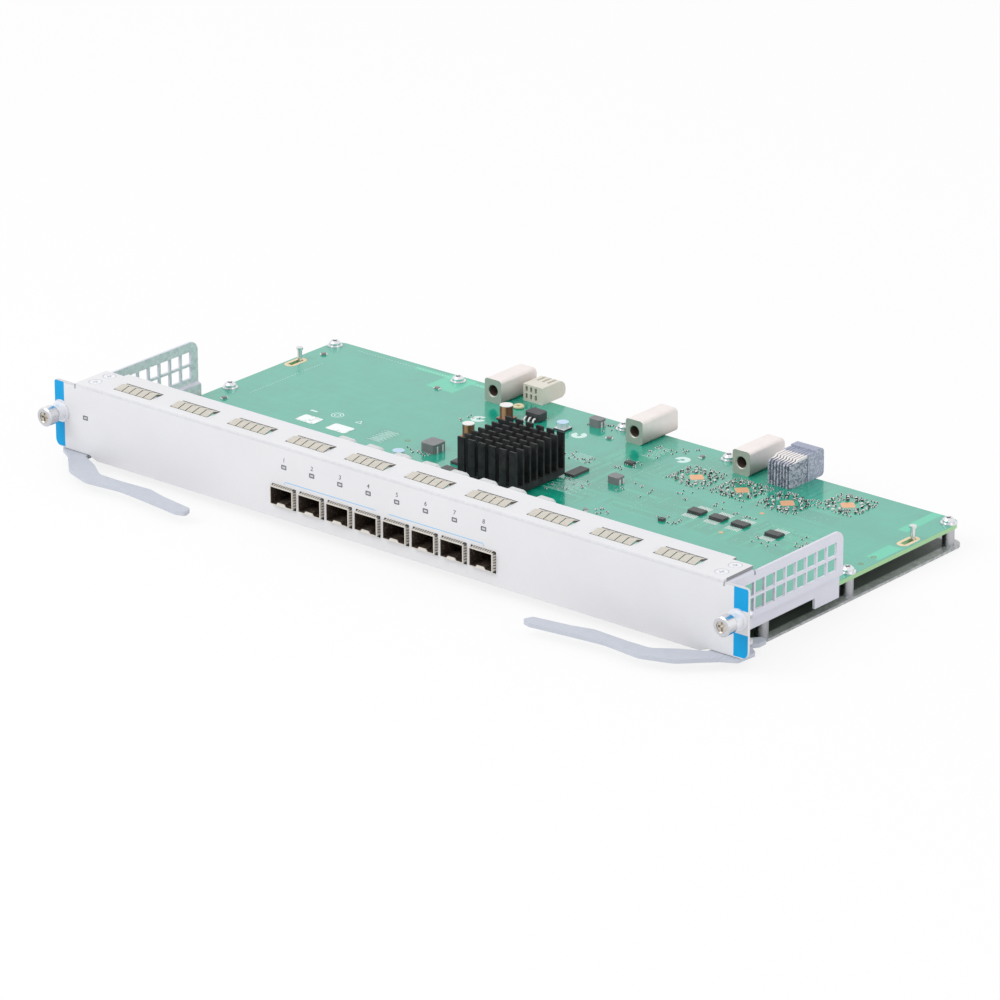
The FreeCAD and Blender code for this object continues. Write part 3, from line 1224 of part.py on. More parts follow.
def signalConnector():
    """Backplane signal connector: wafers side by side, held by a housing with a round rear top."""
    left = "(Dims.signal_place - Dims.signal_width / 2)"
    front = "(%s + Dims.signal_front)" % face
    split = "(%s + Dims.wafer_length)" % front
    body = newBody("signal_housing")
    side = newSketch(body, "SignalSide", "YZ_Plane", left)
    rear = front + " + Dims.signal_length"
    step = "0.42 * (Dims.signal_length - Dims.wafer_length)"
    outline(side, [
        (split, boardTop),
        (rear, boardTop),
        (rear, boardTop + " + Dims.signal_height"),
        (split + " + " + step, boardTop + " + Dims.signal_height"),
        (split + " + " + step, boardTop + " + 0.95 * Dims.signal_height"),
        (split, boardTop + " + 0.95 * Dims.signal_height"),
    ])
    pad(body, "SignalBlock", side, dim("signal_width"))
    back = num(rear)
    top = num(boardTop + " + Dims.signal_height")
    low = num(boardTop)
    dress(body, "Fillet", "SignalCrown", "0.2 * Dims.signal_height", lambda e: isLine(e, y=back, z=top))
    dress(body, "Fillet", "SignalChin", "0.14 * Dims.signal_height", lambda e: isLine(e, y=back, z=low))
    ribs = newSketch(body, "SignalRibs", "XY_Plane", boardTop + " + 0.95 * Dims.signal_height")
    for k in range(int(num(dim("wafer_count"))) - 1):
        place = "%s + %d * Dims.signal_width / Dims.wafer_count - 0.2" % (left, k + 1)
        rectangle(ribs, place, split, "0.4", step)
    pocket(body, "SignalRibCut", ribs, "0.6")

    wafers = []
    pitch = num("Dims.signal_width / Dims.wafer_count")
    thick = num(dim("wafer_thick"))
    start = num(front)
    height = num(dim("signal_height"))
    length = num(dim("wafer_length"))
    for k in range(int(num(dim("wafer_count")))):
        x = num(left) + (k + 0.5) * pitch - thick / 2
        rim = [(0, 0), (length, 0), (length, 0.93 * height), (0.45 * length, 0.93 * height),
               (0.4 * length, 0.86 * height), (0.06 * length, 0.84 * height), (0, 0.76 * height)]
        points = [FreeCAD.Vector(x, start + y, low + z) for y, z in rim]
        wafers.append(Part.Face(Part.makePolygon(points + points[:1])).extrude(FreeCAD.Vector(thick, 0, 0)))
    group("signal_wafers", wafers)


def processorAndSink():
    """Processor package with the pin heat sink on it."""
    x = "Dims.sink_place"
    y = "(%s + Dims.sink_setback)" % face
    keep(box("processor", x + " - Dims.processor_size / 2", y + " - Dims.processor_size / 2", boardTop,
             dim("processor_size"), dim("processor_size"), dim("processor_thick")), "processor")
    body = newBody("heat_sink")
    low = "(%s + Dims.processor_thick)" % boardTop
    base = newSketch(body, "SinkBase", "XY_Plane", low)
    left = "(%s - Dims.sink_width / 2)" % x
    front = "(%s - Dims.sink_length / 2)" % y
    rectangle(base, left, front, dim("sink_width"), dim("sink_length"))
    pad(body, "SinkPlate", base, dim("sink_height"))
    columnGap = "((Dims.sink_width - Dims.pin_columns * Dims.pin_width) / (Dims.pin_columns - 1))"
    rowGap = "((Dims.sink_length - Dims.pin_rows * Dims.pin_thick) / (Dims.pin_rows - 1))"
    crown = "%s + Dims.sink_height" % low
    depth = "Dims.sink_height - Dims.sink_base"
    along = newSketch(body, "SinkColumnGap", "XY_Plane", crown)
    rectangle(along, left + " + Dims.pin_width", front, columnGap, dim("sink_length"))
    column = pocket(body, "SinkColumnCut", along, depth)
    repeat(body, "SinkColumns", column, along, "H_Axis",
           "(Dims.pin_width + %s)" % columnGap, "(Dims.pin_columns - 1)")
    across = newSketch(body, "SinkRowGap", "XY_Plane", crown)
    rectangle(across, left, front + " + Dims.pin_thick", dim("sink_width"), rowGap)
    row = pocket(body, "SinkRowCut", across, depth)
    repeat(body, "SinkRows", row, across, "V_Axis", "(Dims.pin_thick + %s)" % rowGap, "(Dims.pin_rows - 1)")


def groundPins():
    """Upright grounding pins at the rear end of the board's slots."""
    pins = []
    for side in (-1, 1):
        x = side * num(dim("slot_place"))
        y = num(face + " + Dims.slot_centre + Dims.board_slot_length / 2 - Dims.ground_pin / 2") - 0.05
        spot = FreeCAD.Vector(x, y, num(boardLow))
        tall = num(dim("ground_pin_height")) + num(dim("board_thick"))
        pin = Part.makeCylinder(num(dim("ground_pin")) / 2, tall, spot)
        headTall = num(dim("ground_head_height"))
        seat = spot + FreeCAD.Vector(0, 0, tall - headTall)
        head = Part.makeCylinder(num(dim("ground_head")) / 2, headTall, seat)
        pins.append(pin.fuse(head).removeSplitter())
    group("ground_pins", pins)


# Parts on the board: (from the middle, from the face, length along X, width along Y, height).
inductorSpots = [(-53.3, 94.4, 8.2, 8.6, 4.4), (-15.6, 166.4, 6.8, 5.0, 3.8), (36, 115.8, 6.4, 5.4, 3.4)]
transformerSpot = (-42.6, 155, 8.6, 6.6, 3.6)
canSpots = [(-51.3, 116.9, 5.6, 7.2), (-53.3, 146.4, 6.2, 7.2), (-59.8, 77.8, 5.6, 3.4),
            (-25, 152.8, 5.6, 3.7)]
flatSpots = [(15, 113.9, 5.2, 11.2), (-33, 89.6, 7.4, 5.6), (-31, 79.6, 7.4, 4.8), (26.4, 137.8, 4.2, 3.2),
             (80.5, 92.6, 2.8, 2.2)]
outlineSpots = [(86.5, 110.3), (98.5, 110.3), (110.7, 110.3), (129.3, 110.3)]
clusterSpots = [(59.8, 143.5), (84.8, 144.1), (110.6, 144), (133, 159.3)]
# Rings of a cluster: (radius, chip capacitors in the ring), by their names on the sheet.
clusterRings = [("ring_inner", "ring_inner_count"), ("ring_outer", "ring_outer_count")]


def boardParts():
    """Inductors, transformer, capacitor cans, chips and the rings of chip capacitors."""
    front = num(face)
    top = num(boardTop)
    coils = [block(x, front + y, top, a, b, c) for x, y, a, b, c in inductorSpots]
    group("power_inductors", [chamfered(coil) for coil in coils])

    x, y, a, b, c = transformerSpot
    pulse = chamfered(block(x, front + y, top + num(dim("pulse_lift")), a, b, c))
    leadWide = num(dim("pulse_lead"))
    leadOut = num(dim("pulse_lead_out"))
    for k in (-1, 0, 1):
        pulse = pulse.fuse(block(x + 0.3 * a * k, front + y - b / 2, top, leadWide, leadOut, 0.7 * c))
    group("pulse_transformer", [pulse.removeSplitter()])

    cans = []
    footTall = num(dim("can_foot"))
    rim = 2 * num(dim("can_foot_rim"))
    for x, y, size, tall in canSpots:
        foot = block(x, front + y, top, size + rim, size + rim, footTall)
        can = Part.makeCylinder(size / 2, tall - footTall, FreeCAD.Vector(x, front + y, top + footTall))
        cans.append(foot.fuse(can).removeSplitter())
    group("capacitor_cans", cans)
    flat = num(dim("flat_thick"))
    group("flat_chips", [block(x, front + y, top, a, b, flat) for x, y, a, b in flatSpots])

    chips = []
    bodySize = [num(dim(name)) for name in ("chip_length", "chip_width", "chip_thick")]
    leadSize = [num(dim(name)) for name in ("lead_width", "lead_span", "lead_thick")]
    count = int(num(dim("chip_leads")))
    for x, y in outlineSpots:
        chip = block(x, front + y, top + num(dim("chip_lift")), *bodySize)
        for k in range(count):
            lead = x + (k - (count - 1) / 2) * num(dim("chip_pitch"))
            chip = chip.fuse(block(lead, front + y, top, *leadSize))
        chips.append(chip.removeSplitter())
    group("small_outline_chips", chips)

    caps = []
    capSize = [num(dim(name)) for name in ("cap_width", "cap_length", "cap_thick")]
    rings = [(num(dim(radius)), int(num(dim(count)))) for radius, count in clusterRings]
    for x, y in clusterSpots:
        for ring, count in rings:
            for k in range(count):
                angle = 2 * math.pi * (k + 0.5) / count
                across = ring * math.cos(angle)
                back = 0.9 * ring * math.sin(angle)
                caps.append(block(x + across, front + y + back, top, *capSize))
    group("chip_capacitors", caps)


def chamfered(solid):
    """Bevels the upright edges of a block."""
    upright = [edge for edge in solid.Edges if abs(edge.tangentAt(edge.FirstParameter).z) > 0.9]
    return solid.makeChamfer(num(dim("part_bevel")), upright)


frontPanel()
sideBracket("side_bracket_left", -1)
sideBracket("side_bracket_right", 1)
basePlate()
circuitBoard()
standoffsAndScrews()
flushScrews()
cages()
lightPipes()
gasketStrips()
ejectorLever("ejector_lever_left", -1)
ejectorLever("ejector_lever_right", 1)
captiveScrew("left", -1)
captiveScrew("right", 1)
guideBlock("guide_block_1", dim("guide_first"))
guideBlock("guide_block_2", dim("guide_second"))
guideBlock("guide_block_3", dim("guide_third"))
powerConnector()
signalConnector()
processorAndSink()
groundPins()
boardParts()

doc.recompute()
for item in doc.Objects:
    if "Invalid" in item.State or "Error" in item.State:
        raise RuntimeError("failed: " + item.Name)
for piece in nodes:
    if piece.Shape.isNull() or not piece.Shape.isValid():
        raise RuntimeError("no valid shape: " + piece.Label)

os.makedirs("parts", exist_ok=True)
for piece in nodes:
    piece.Shape.exportStep("parts/%s.step" % piece.Label)
print(len(nodes), "sub-parts")
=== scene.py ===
import bpy
import json
import math
import numpy as np
from mathutils import Matrix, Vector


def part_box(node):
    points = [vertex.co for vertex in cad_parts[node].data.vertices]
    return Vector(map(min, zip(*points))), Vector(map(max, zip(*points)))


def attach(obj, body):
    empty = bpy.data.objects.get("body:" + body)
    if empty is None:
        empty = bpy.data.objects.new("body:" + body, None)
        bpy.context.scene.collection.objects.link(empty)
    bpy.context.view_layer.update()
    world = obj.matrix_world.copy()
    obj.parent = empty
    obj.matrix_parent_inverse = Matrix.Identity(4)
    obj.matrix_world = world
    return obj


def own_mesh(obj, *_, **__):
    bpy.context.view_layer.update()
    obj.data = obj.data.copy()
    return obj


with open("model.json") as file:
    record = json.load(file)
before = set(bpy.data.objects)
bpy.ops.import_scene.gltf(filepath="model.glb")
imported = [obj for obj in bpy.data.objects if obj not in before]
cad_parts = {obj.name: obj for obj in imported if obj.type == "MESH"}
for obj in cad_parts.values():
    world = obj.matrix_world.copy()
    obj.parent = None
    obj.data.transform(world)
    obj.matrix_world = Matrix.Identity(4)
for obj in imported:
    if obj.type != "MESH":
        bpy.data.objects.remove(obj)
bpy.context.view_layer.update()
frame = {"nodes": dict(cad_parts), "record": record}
print("frame loaded:", len(frame["nodes"]), "nodes")

mm = 0.001
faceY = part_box("front_panel")[0][1]      # the panel's front face, in metres
film = 0.03                              # a print stands this far off what it is on, in mm


# A node's box as its low and high corner, in mm, with y from the panel's face
def boxOf(node):
    return [np.array(corner) / mm - (0, faceY / mm, 0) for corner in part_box(node)]


def middleOf(node):
    return sum(boxOf(node)) / 2


boardTop = boxOf("circuit_board")[1][2]
panelTop = boxOf("front_panel")[1][2]


# Sockets with arithmetic, so that a pattern reads as an expression on values
class Wire:
    def __init__(self, patch, socket):
        self.patch = patch
        self.socket = socket

    def act(self, operation, *values):
        return self.patch.node("ShaderNodeMath", {"operation": operation}, dict(enumerate(values)))

    def __add__(self, other): return self.act("ADD", self, other)
    def __radd__(self, other): return self.act("ADD", other, self)
    def __sub__(self, other): return self.act("SUBTRACT", self, other)
    def __rsub__(self, other): return self.act("SUBTRACT", other, self)
    def __mul__(self, other): return self.act("MULTIPLY", self, other)
    def __rmul__(self, other): return self.act("MULTIPLY", other, self)
    def __truediv__(self, other): return self.act("DIVIDE", self, other)
    def __rtruediv__(self, other): return self.act("DIVIDE", other, self)
    def __mod__(self, other): return self.act("FLOORED_MODULO", self, other)
    def __gt__(self, other): return self.act("GREATER_THAN", self, other)
    def __neg__(self): return self.act("MULTIPLY", self, -1.0)

    def most(self, other): return self.act("MAXIMUM", self, other)
    def root(self): return self.act("SQRT", self)
    def size(self): return self.act("ABSOLUTE", self)
    def sine(self): return self.act("SINE", self)

    # 1 where the value is under the edge, 0 over it, with a soft step as wide as blur
    def under(self, edge, blur):
        return self.patch.node("ShaderNodeMapRange", {"interpolation_type": "SMOOTHSTEP"},
                               {"Value": self, "From Min": edge - blur / 2, "From Max": edge + blur / 2,
                                "To Min": 1.0, "To Max": 0.0})

    def over(self, edge, blur): return 1 - self.under(edge, blur)

    # 1 between the two edges
    def between(self, low, high, blur): return self.under(high, blur) * self.over(low, blur)


# A node tree. Each node comes from one method: its type, its settings, and its sockets' values or wires.
class Patch:
    def __init__(self, tree):
        self.tree = tree

    def node(self, kind, settings=None, values=None, out=0):
        made = self.tree.nodes.new(kind)
        for name, value in (settings or {}).items():
            setattr(made, name, value)
        for name, value in (values or {}).items():
            if isinstance(value, Wire):
                self.tree.links.new(value.socket, made.inputs[name])
            else:
                made.inputs[name].default_value = value
        return Wire(self, made.outputs[out])

    def plug(self, wire, shader, socket):
        self.tree.links.new(wire.socket, shader.inputs[socket])

    # 1 on rays of these kinds, 0 on the others
    def rays(self, *kinds):
        seen = 0
        for kind in kinds:
            seen = self.node("ShaderNodeLightPath", out=kind).most(seen)
        return seen


# One material: a Principled shader, and the nodes that its pattern needs. Lengths are in mm.
class Finish(Patch):
    def __init__(self, name, colour, roughness=0.5, metallic=0.0, **fixed):
        self.material = bpy.data.materials.new(name)
        self.material.use_nodes = True
        self.material.diffuse_color = (*colour, 1)
        super().__init__(self.material.node_tree)
        self.shader = self.tree.nodes["Principled BSDF"]
        constants = {"Base_Color": (*colour, 1), "Roughness": roughness, "Metallic": metallic, **fixed}
        for socket, value in constants.items():
            self.shader.inputs[socket.replace("_", " ")].default_value = value
        self.place = self.node("ShaderNodeTexCoord", out="Object")

    def split(self, wire):
        parts = self.node("ShaderNodeSeparateXYZ", values={0: wire}).socket.node
        return [Wire(self, part) for part in parts.outputs]

    # x, y from the panel's face, and z
    def axes(self):
        x, y, z = self.split(self.place)
        return x / mm, (y - faceY) / mm, z / mm

    # how far a face looks along X, Y or Z, from -1 to 1
    def facing(self, axis):
        return self.split(self.node("ShaderNodeTexCoord", out="Normal"))[axis]

    def stretched(self, x=1.0, y=1.0, z=1.0):
        return self.node("ShaderNodeMapping", values={"Vector": self.place, "Scale": (x, y, z)})

    def noise(self, size, detail=2.0, place=None):
        values = {"Vector": place or self.place, "Scale": 1 / (size * mm), "Detail": detail}
        return self.node("ShaderNodeTexNoise", values=values)

    def cells(self, size, out="Color", place=None, loose=1.0):
        values = {"Vector": place or self.place, "Scale": 1 / (size * mm), "Randomness": loose}
        return self.node("ShaderNodeTexVoronoi", values=values, out=out)

    def grey(self, wire):
        return self.node("ShaderNodeRGBToBW", values={0: wire})

    # from the first colour, where the factor is 0, to the second
    def mix(self, factor, first, second):
        first, second = (value if isinstance(value, Wire) else (*value, 1) for value in (first, second))
        return self.node("ShaderNodeMix", {"data_type": "RGBA"}, {0: factor, 6: first, 7: second}, out=2)

    def feed(self, socket, wire):
        self.plug(wire, self.shader, socket)
        return self

    def bump(self, height, depth):
        relief = self.node("ShaderNodeBump", values={"Height": height, "Distance": depth * mm})
        return self.feed("Normal", relief)


def mixed(low, high, share):
    return tuple(a + (b - a) * share for a, b in zip(low, high))


# The colour, darkened and lightened by a share
def spanned(colour, share):
    return mixed(colour, (0, 0, 0), share), mixed(colour, (1, 1, 1), share)


# Camera at the photograph's angle
camera = {
    "place": (1.616285, -1.960190, 0.995283),
    "azimuth": math.radians(39.8287),
    "elevation": math.radians(21.4180),
    "roll": -0.00192,
    "lens": 218.13,
    "sensor": 36,
    "reach": 20,
}
view = bpy.data.cameras.new("view")
view.lens = camera["lens"]
view.sensor_width = camera["sensor"]
view.clip_end = camera["reach"]
viewer = bpy.data.objects.new("view", view)
bpy.context.scene.collection.objects.link(viewer)
bpy.context.scene.camera = viewer
viewer.location = camera["place"]
swing = Matrix.Rotation(camera["azimuth"], 3, "Z")
tilt = Matrix.Rotation(math.pi / 2 - camera["elevation"], 3, "X")
viewer.rotation_euler = (swing @ tilt @ Matrix.Rotation(camera["roll"], 3, "Z")).to_euler()
bpy.context.scene.view_settings.view_transform = "Standard"
print("camera set")

# Lamps, world and floor, in metres
studio = {
    "sky": 0.93,
    "lamps": {
        "keyLamp": {"power": 17.0, "size": 1.6, "place": (-0.7, -1.4, 1.5)},
        "sideLamp": {"power": 3.0, "size": 1.2, "place": (1.7, 0.2, 0.7)},
    },
    "floorDrop": 0.0004,
    "floorReach": 4.0,
    "floorSides": 64,
    "floorShade": 0.82,
    "floorGlow": 0.84,                   # share of the floor that the camera sees as plain white
}
white = (1, 1, 1, 1)

world = bpy.data.worlds.new("studio")
bpy.context.scene.world = world
world.use_nodes = True
sky = Patch(world.node_tree)
seen = sky.rays("Is Camera Ray", "Is Glossy Ray", "Is Transmission Ray")
background = sky.tree.nodes["Background"]
background.inputs["Color"].default_value = white
sky.plug(sky.node("ShaderNodeMapRange", values={"Value": seen, "To Min": studio["sky"], "To Max": 1.0}),
         background, "Strength")


# A round lamp that looks at the origin: its own Z points away from there
def roundLamp(name, power, size, place):
    lamp = bpy.data.lights.new(name, "AREA")
    lamp.energy = power
    lamp.shape = "DISK"
    lamp.size = size
    holder = bpy.data.objects.new(name, lamp)
    bpy.context.scene.collection.objects.link(holder)
    holder.location = place
    away = np.array(place) / np.linalg.norm(place)
    side = np.cross((0, 0, 1), away)
    side /= np.linalg.norm(side)
    holder.rotation_euler = Matrix(np.column_stack([side, np.cross(away, side), away]).tolist()).to_euler()


for name, lamp in studio["lamps"].items():
    roundLamp(name, **lamp)

# One disc for the floor: its rim's points are the reach times (cos, sin) of the turn
turns = np.linspace(0, 2 * math.pi, studio["floorSides"], endpoint=False)
rim = np.column_stack([studio["floorReach"] * np.cos(turns), studio["floorReach"] * np.sin(turns),
                       np.full(len(turns), -studio["floorDrop"])])
floorMesh = bpy.data.meshes.new("floor")
floorMesh.from_pydata(rim.tolist(), [], [list(range(len(turns)))])
floor = bpy.data.objects.new("floor", floorMesh)
bpy.context.scene.collection.objects.link(floor)
paper = bpy.data.materials.new("paper")
paper.use_nodes = True
ground = Patch(paper.node_tree)
ground.tree.nodes.remove(ground.tree.nodes["Principled BSDF"])
dull = ground.node("ShaderNodeBsdfDiffuse", values={"Color": (studio["floorShade"],) * 3 + (1,)})
glow = ground.node("ShaderNodeEmission", values={"Color": white, "Strength": 1.0})
share = ground.rays("Is Camera Ray") * studio["floorGlow"]
ground.plug(ground.node("ShaderNodeMixShader", values={0: share, 1: dull, 2: glow}),
            ground.tree.nodes["Material Output"], "Surface")
floorMesh.materials.append(paper)
print("studio set")


# Finishes
panel = {
    "paint": (0.72, 0.72, 0.745),
    "blue": (0.0, 0.325, 0.67),
    # painted shade on the walls of the flange's slots, round the flange screws and along the flange's bend
    "bareEdge": (0.26, 0.27, 0.29),
    "cloud": 18,
    "peel": 0.45,
    "contrast": 0.09,
    "leftStrip": -193.7,
    "rightStrip": 192.0,
    "stripLow": 6.9,
    "stripHigh": 38.4,
    "stripDepth": 0.15,
    "zone": 5.4,
    "zoneReach": 20,
    "zoneDrop": {"left": 0.0, "right": 1.0},
    "zoneRound": {"left": 1.0, "right": 0.0},      # 1 is a round zone, 0 a cut right across the strip
    "edge": 0.12,
    "sheet": 1.6,                                  # depth of the flange's cut edges and of its bend
    "flangeFront": 2.2,
    "bendTop": 0.3,
    "bendFront": 1.5,
    "screwX": 180.2,                               # countersunk screws of the top flange
    "screwY": (6.8, 16.1),
    "screwRim": (2.75, 3.2),
}
mouth = {
    "first": middleOf("module_cage_1")[0],
    "pitch": middleOf("module_cage_2")[0] - middleOf("module_cage_1")[0],
    "count": sum(name.startswith("module_cage") for name in frame["nodes"]),
    "halfInside": 6.3,
    "floor": 0.25,
    "roof": 8.45,
    "lip": -1.75,
    "windowReach": 7.4,                            # middle of a port to the cut edge of its window
    "windowTop": 22,
    "rowReach": 66,
    "shaded": (-1.35, 1.6),                        # sheet between the springy fingers
    "bright": ((0.64, 0.60, 0.54), (0.80, 0.77, 0.71)),
    # painted shade deep in the port mouths, and painted glints in it
    "dark": (0.045, 0.031, 0.023),
    "glint": (0.22, 0.19, 0.16),
    # painted shade in the gaps between the cages and the panel's windows
    "gapDark": (0.045, 0.040, 0.036),
}


# Distance in x from the middle of the nearest port
def fromPort(x):
    half = mouth["pitch"] / 2
    return ((x - (mouth["first"] - half)) % mouth["pitch"] - half).size()


# White paint with fine orange peel, and the blue strips on the ears with a white zone in each
def panelPaint():
    paint = Finish("panelPaint", panel["paint"], 0.42, Specular_IOR_Level=0.22)
    x, y, z = paint.axes()
    soft = panel["edge"]
    flangeLow = panelTop - panel["sheet"]
    ears = x.under(panel["leftStrip"], soft) + x.over(panel["rightStrip"], soft)
    strips = ears * y.under(panel["stripDepth"], 0.1) * z.between(panel["stripLow"], panel["stripHigh"], soft)
    for side, drop in panel["zoneDrop"].items():
        middle = middleOf("ferrule_" + side)
        dx, dz = x - middle[0], z - (middle[2] - drop)
        away = (dx * dx * panel["zoneRound"][side] + dz * dz).root()
        strips = strips * away.over(panel["zone"], soft).most(dx.size().over(panel["zoneReach"], 1))
    peel = paint.noise(panel["cloud"], 3) * 0.45 + paint.noise(panel["peel"], 2) * 0.55
    tone = paint.mix(peel, *spanned(panel["paint"], panel["contrast"]))
    # painted shade on the cut edges of the windows round the ports, in the gap to the cages, and on the cut
    # walls of the flange's slots
    cut = fromPort(x).under(mouth["windowReach"], 0.05) * x.size().under(mouth["rowReach"], 0.3)
    cut = cut * y.over(0.12, 0.04) * z.under(mouth["windowTop"], 0.1)
    tone = paint.mix(cut, tone, mouth["gapDark"])
    lying = paint.facing(2)
    slots = z.over(flangeLow, 0.1) * y.over(panel["flangeFront"], 0.1) * (lying * lying).under(0.3, 0.1)
    tone = paint.mix(slots, tone, panel["bareEdge"])
    # painted shade in a ring round each countersunk screw head, in the seam at its countersink
    for place in panel["screwY"]:
        across, along = x.size() - panel["screwX"], y - place
        rim = (across * across + along * along).root().between(*panel["screwRim"], 0.2)
        rim = rim * z.over(panelTop - 1, 0.1)
        tone = paint.mix(rim * 0.45, tone, panel["bareEdge"])
    # painted shade along the flange's bend, broken up by noise, that damps the highlight on its rounded edge
    bend = z.between(flangeLow, panelTop - panel["bendTop"], 0.8) * y.under(panel["bendFront"], 0.3)
    tone = paint.mix(bend * (paint.noise(1.5, 3) * 0.3 + 0.08), tone, panel["bareEdge"])
    paint.feed("Base Color", paint.mix(strips, tone, panel["blue"]))
    paint.feed("Roughness", paint.noise(0.5) * 0.14 + 0.36)
    return paint.bump(paint.noise(0.32, 3), 0.02)


plate = {
    "zinc": (0.50, 0.52, 0.55),
    "shade": (0.03, 0.04, 0.04),
    "spangle": 1.2,
    "contrast": 0.4,
    "sideRim": 4.5,
    "rearRim": 3.5,
}


# Base plate: spangled sheet whose cells have their own shade and shine, in deep shade under the board
# and bright along the rim outside it
def plateSheet():
    metal = Finish("galvanised", plate["zinc"], 0.44, 0.85)
    x, y, z = metal.axes()
    reach, rear, top = boxOf("base_plate")[1]
    under = x.size().under(reach - plate["sideRim"], 1.5) * y.under(rear - plate["rearRim"], 1.5)
    under = under * metal.facing(2).over(0.5, 0.2)
    spangle = metal.grey(metal.cells(plate["spangle"]))
    fine = metal.noise(0.5, 3)
    bright = metal.mix(spangle * 0.7 + fine * 0.3, *spanned(plate["zinc"], plate["contrast"]))
    metal.feed("Base Color", metal.mix(under * 0.88, bright, plate["shade"]))
    metal.feed("Metallic", 0.6 - under * 0.4)
    metal.feed("Roughness", spangle * 0.22 + 0.33)
    return metal.bump(fine * 0.5 + spangle * 0.5, 0.015)


bracket = {
    "paint": ((0.58, 0.585, 0.67), (0.71, 0.715, 0.79)),
    "bare": ((0.60, 0.65, 0.68), (0.83, 0.86, 0.88)),
    "spangle": 1.6,
    "fold": (15.9, 16.35),
    "foldFront": 8,
    "foldShade": (0.22, 0.23, 0.30),
}


# Lavender-white paint outside with a shaded line along the fold, bare spangled sheet on the inner faces
def bracketPaint():
    paint = Finish("bracketPaint", (0.64, 0.65, 0.74), 0.4, Specular_IOR_Level=0.35)
    x, y, z = paint.axes()
    inward = (x / -boxOf("side_bracket_left")[0][0] * paint.facing(0)).under(-0.5, 0.2)
    spangle = paint.grey(paint.cells(bracket["spangle"]))
    tone = paint.mix(paint.noise(9, 3) * 0.5 + paint.noise(0.5, 2) * 0.5, *bracket["paint"])
    fold = z.between(*bracket["fold"], 0.2) * y.over(bracket["foldFront"], 1)
    tone = paint.mix(fold * 0.45, tone, bracket["foldShade"])
    paint.feed("Base Color", paint.mix(inward, tone, paint.mix(spangle, *bracket["bare"])))
    paint.feed("Metallic", inward * 0.2)
    paint.feed("Roughness", paint.noise(0.6, 3) * 0.2 + 0.32)
    return paint.bump(paint.noise(0.35, 3) + spangle * inward * 0.4, 0.02)


board = {
    "mask": (0.004, 0.350, 0.250),
    "deep": (0.003, 0.235, 0.155),
    "bright": (0.012, 0.560, 0.340),
    "edge": (0.30, 0.56, 0.26),
    "silk": (0.62, 0.80, 0.76),
    # fields of brighter green: left, right, front and rear edge
    "brightFields": ((-111, -95, 157, 176), (167, 172, 150, 177), (-130, -60, 171, 174),
                     (175, 182, 116, 133)),
    # darker pours
    "deepFields": ((-88, -77, 86, 102), (-8, 40, 80, 118), (44, 150, 92, 122), (46, 142, 132, 170),
                   (10, 44, 120, 150)),
    "gloss": 0.74,
    "cloud": 16,
    "traceField": 13,                    # a field whose traces all run one way
    "traceNoise": 14,
    "traceLines": 26,
    "via": 1.35,
}


# Solder mask: traces in short runs, vias, pours and brighter fields under a clear gloss
def boardMask():
    green = Finish("boardMask", board["mask"], 0.25, Coat_Weight=board["gloss"], Coat_Roughness=0.05)
    x, y, z = green.axes()
    flat = green.stretched(1, 1, 0.001)
    top = z.over(boardTop - 0.1, 0.02)
    tone = green.mix(green.noise(board["cloud"], 4, flat), mixed(board["mask"], board["deep"], 0.5),
                     mixed(board["mask"], board["bright"], 0.18))

    def fields(name, soft):
        found = 0
        for left, right, front, rear in board[name]:
            found = x.between(left, right, soft) * y.between(front, rear, soft) + found
        return found

    def lines(stretchX, stretchY):
        waves = green.noise(board["traceNoise"], 1, green.stretched(stretchX, stretchY, 0.01))
        return (waves * board["traceLines"]).sine()

    busy = fields("deepFields", 6)
    tone = green.mix(busy * 0.35, tone, board["deep"])
    tone = green.mix(fields("brightFields", 1.2) * 0.75, tone, board["bright"])
    # traces run along X in some fields of the pattern and along Y in the others
    pick = green.grey(green.cells(board["traceField"], place=flat)) > 0.45
    traces = lines(0.06, 2.4) * pick + lines(2.4, 0.06) * (1 - pick)
    tone = green.mix(traces.under(-0.55, 0.5) * (busy * 0.22 + 0.06), tone, board["bright"])
    vias = green.cells(board["via"], "Distance", flat, 0.9).under(0.16, 0.08)
    tone = green.mix(vias * busy * green.noise(11, 2, flat).over(0.5, 0.04) * 0.6, tone, board["silk"])
    green.feed("Base Color", green.mix(top, board["edge"], tone))
    green.feed("Roughness", green.noise(3, 3) * 0.1 + 0.16)
    return green.bump(traces * 0.5 + green.noise(0.7) * 0.2, 0.005)


# Cloudy colour, with a fine grain in the shine and the surface
def plastic(name, colour, roughness=0.5, grain=0.5, depth=0.02, metallic=0.0, **fixed):
    made = Finish(name, colour, roughness, metallic, **fixed)
    fine = made.noise(grain, 3)
    made.feed("Base Color", made.mix(made.noise(grain * 12, 3), *spanned(colour, 0.06)))
    made.feed("Roughness", fine * 0.2 + (roughness - 0.1))
    return made.bump(fine, depth)


# Metal with a fine scratch, drawn out along Y where drawn is under 1
def brushed(name, colour, roughness=0.3, depth=0.01, drawn=1.0, metallic=1.0):
    made = Finish(name, colour, roughness, metallic)
    scratch = made.noise(0.6, 3, made.stretched(1, drawn, 1))
    made.feed("Base Color", made.mix(scratch, *spanned(colour, 0.1)))
    made.feed("Roughness", scratch * 0.2 + (roughness - 0.1))
    return made.bump(scratch, depth)


knob = {
    "nickel": ((0.72, 0.72, 0.75), (0.86, 0.86, 0.88)),
    # painted dark reflections along the knob
    "band": (0.40, 0.41, 0.44),
    "recess": (0.56, 0.52, 0.47),
    "recessReach": 2.75,
    "recessDepth": (0.3, 1.8),           # behind the knob's front
}
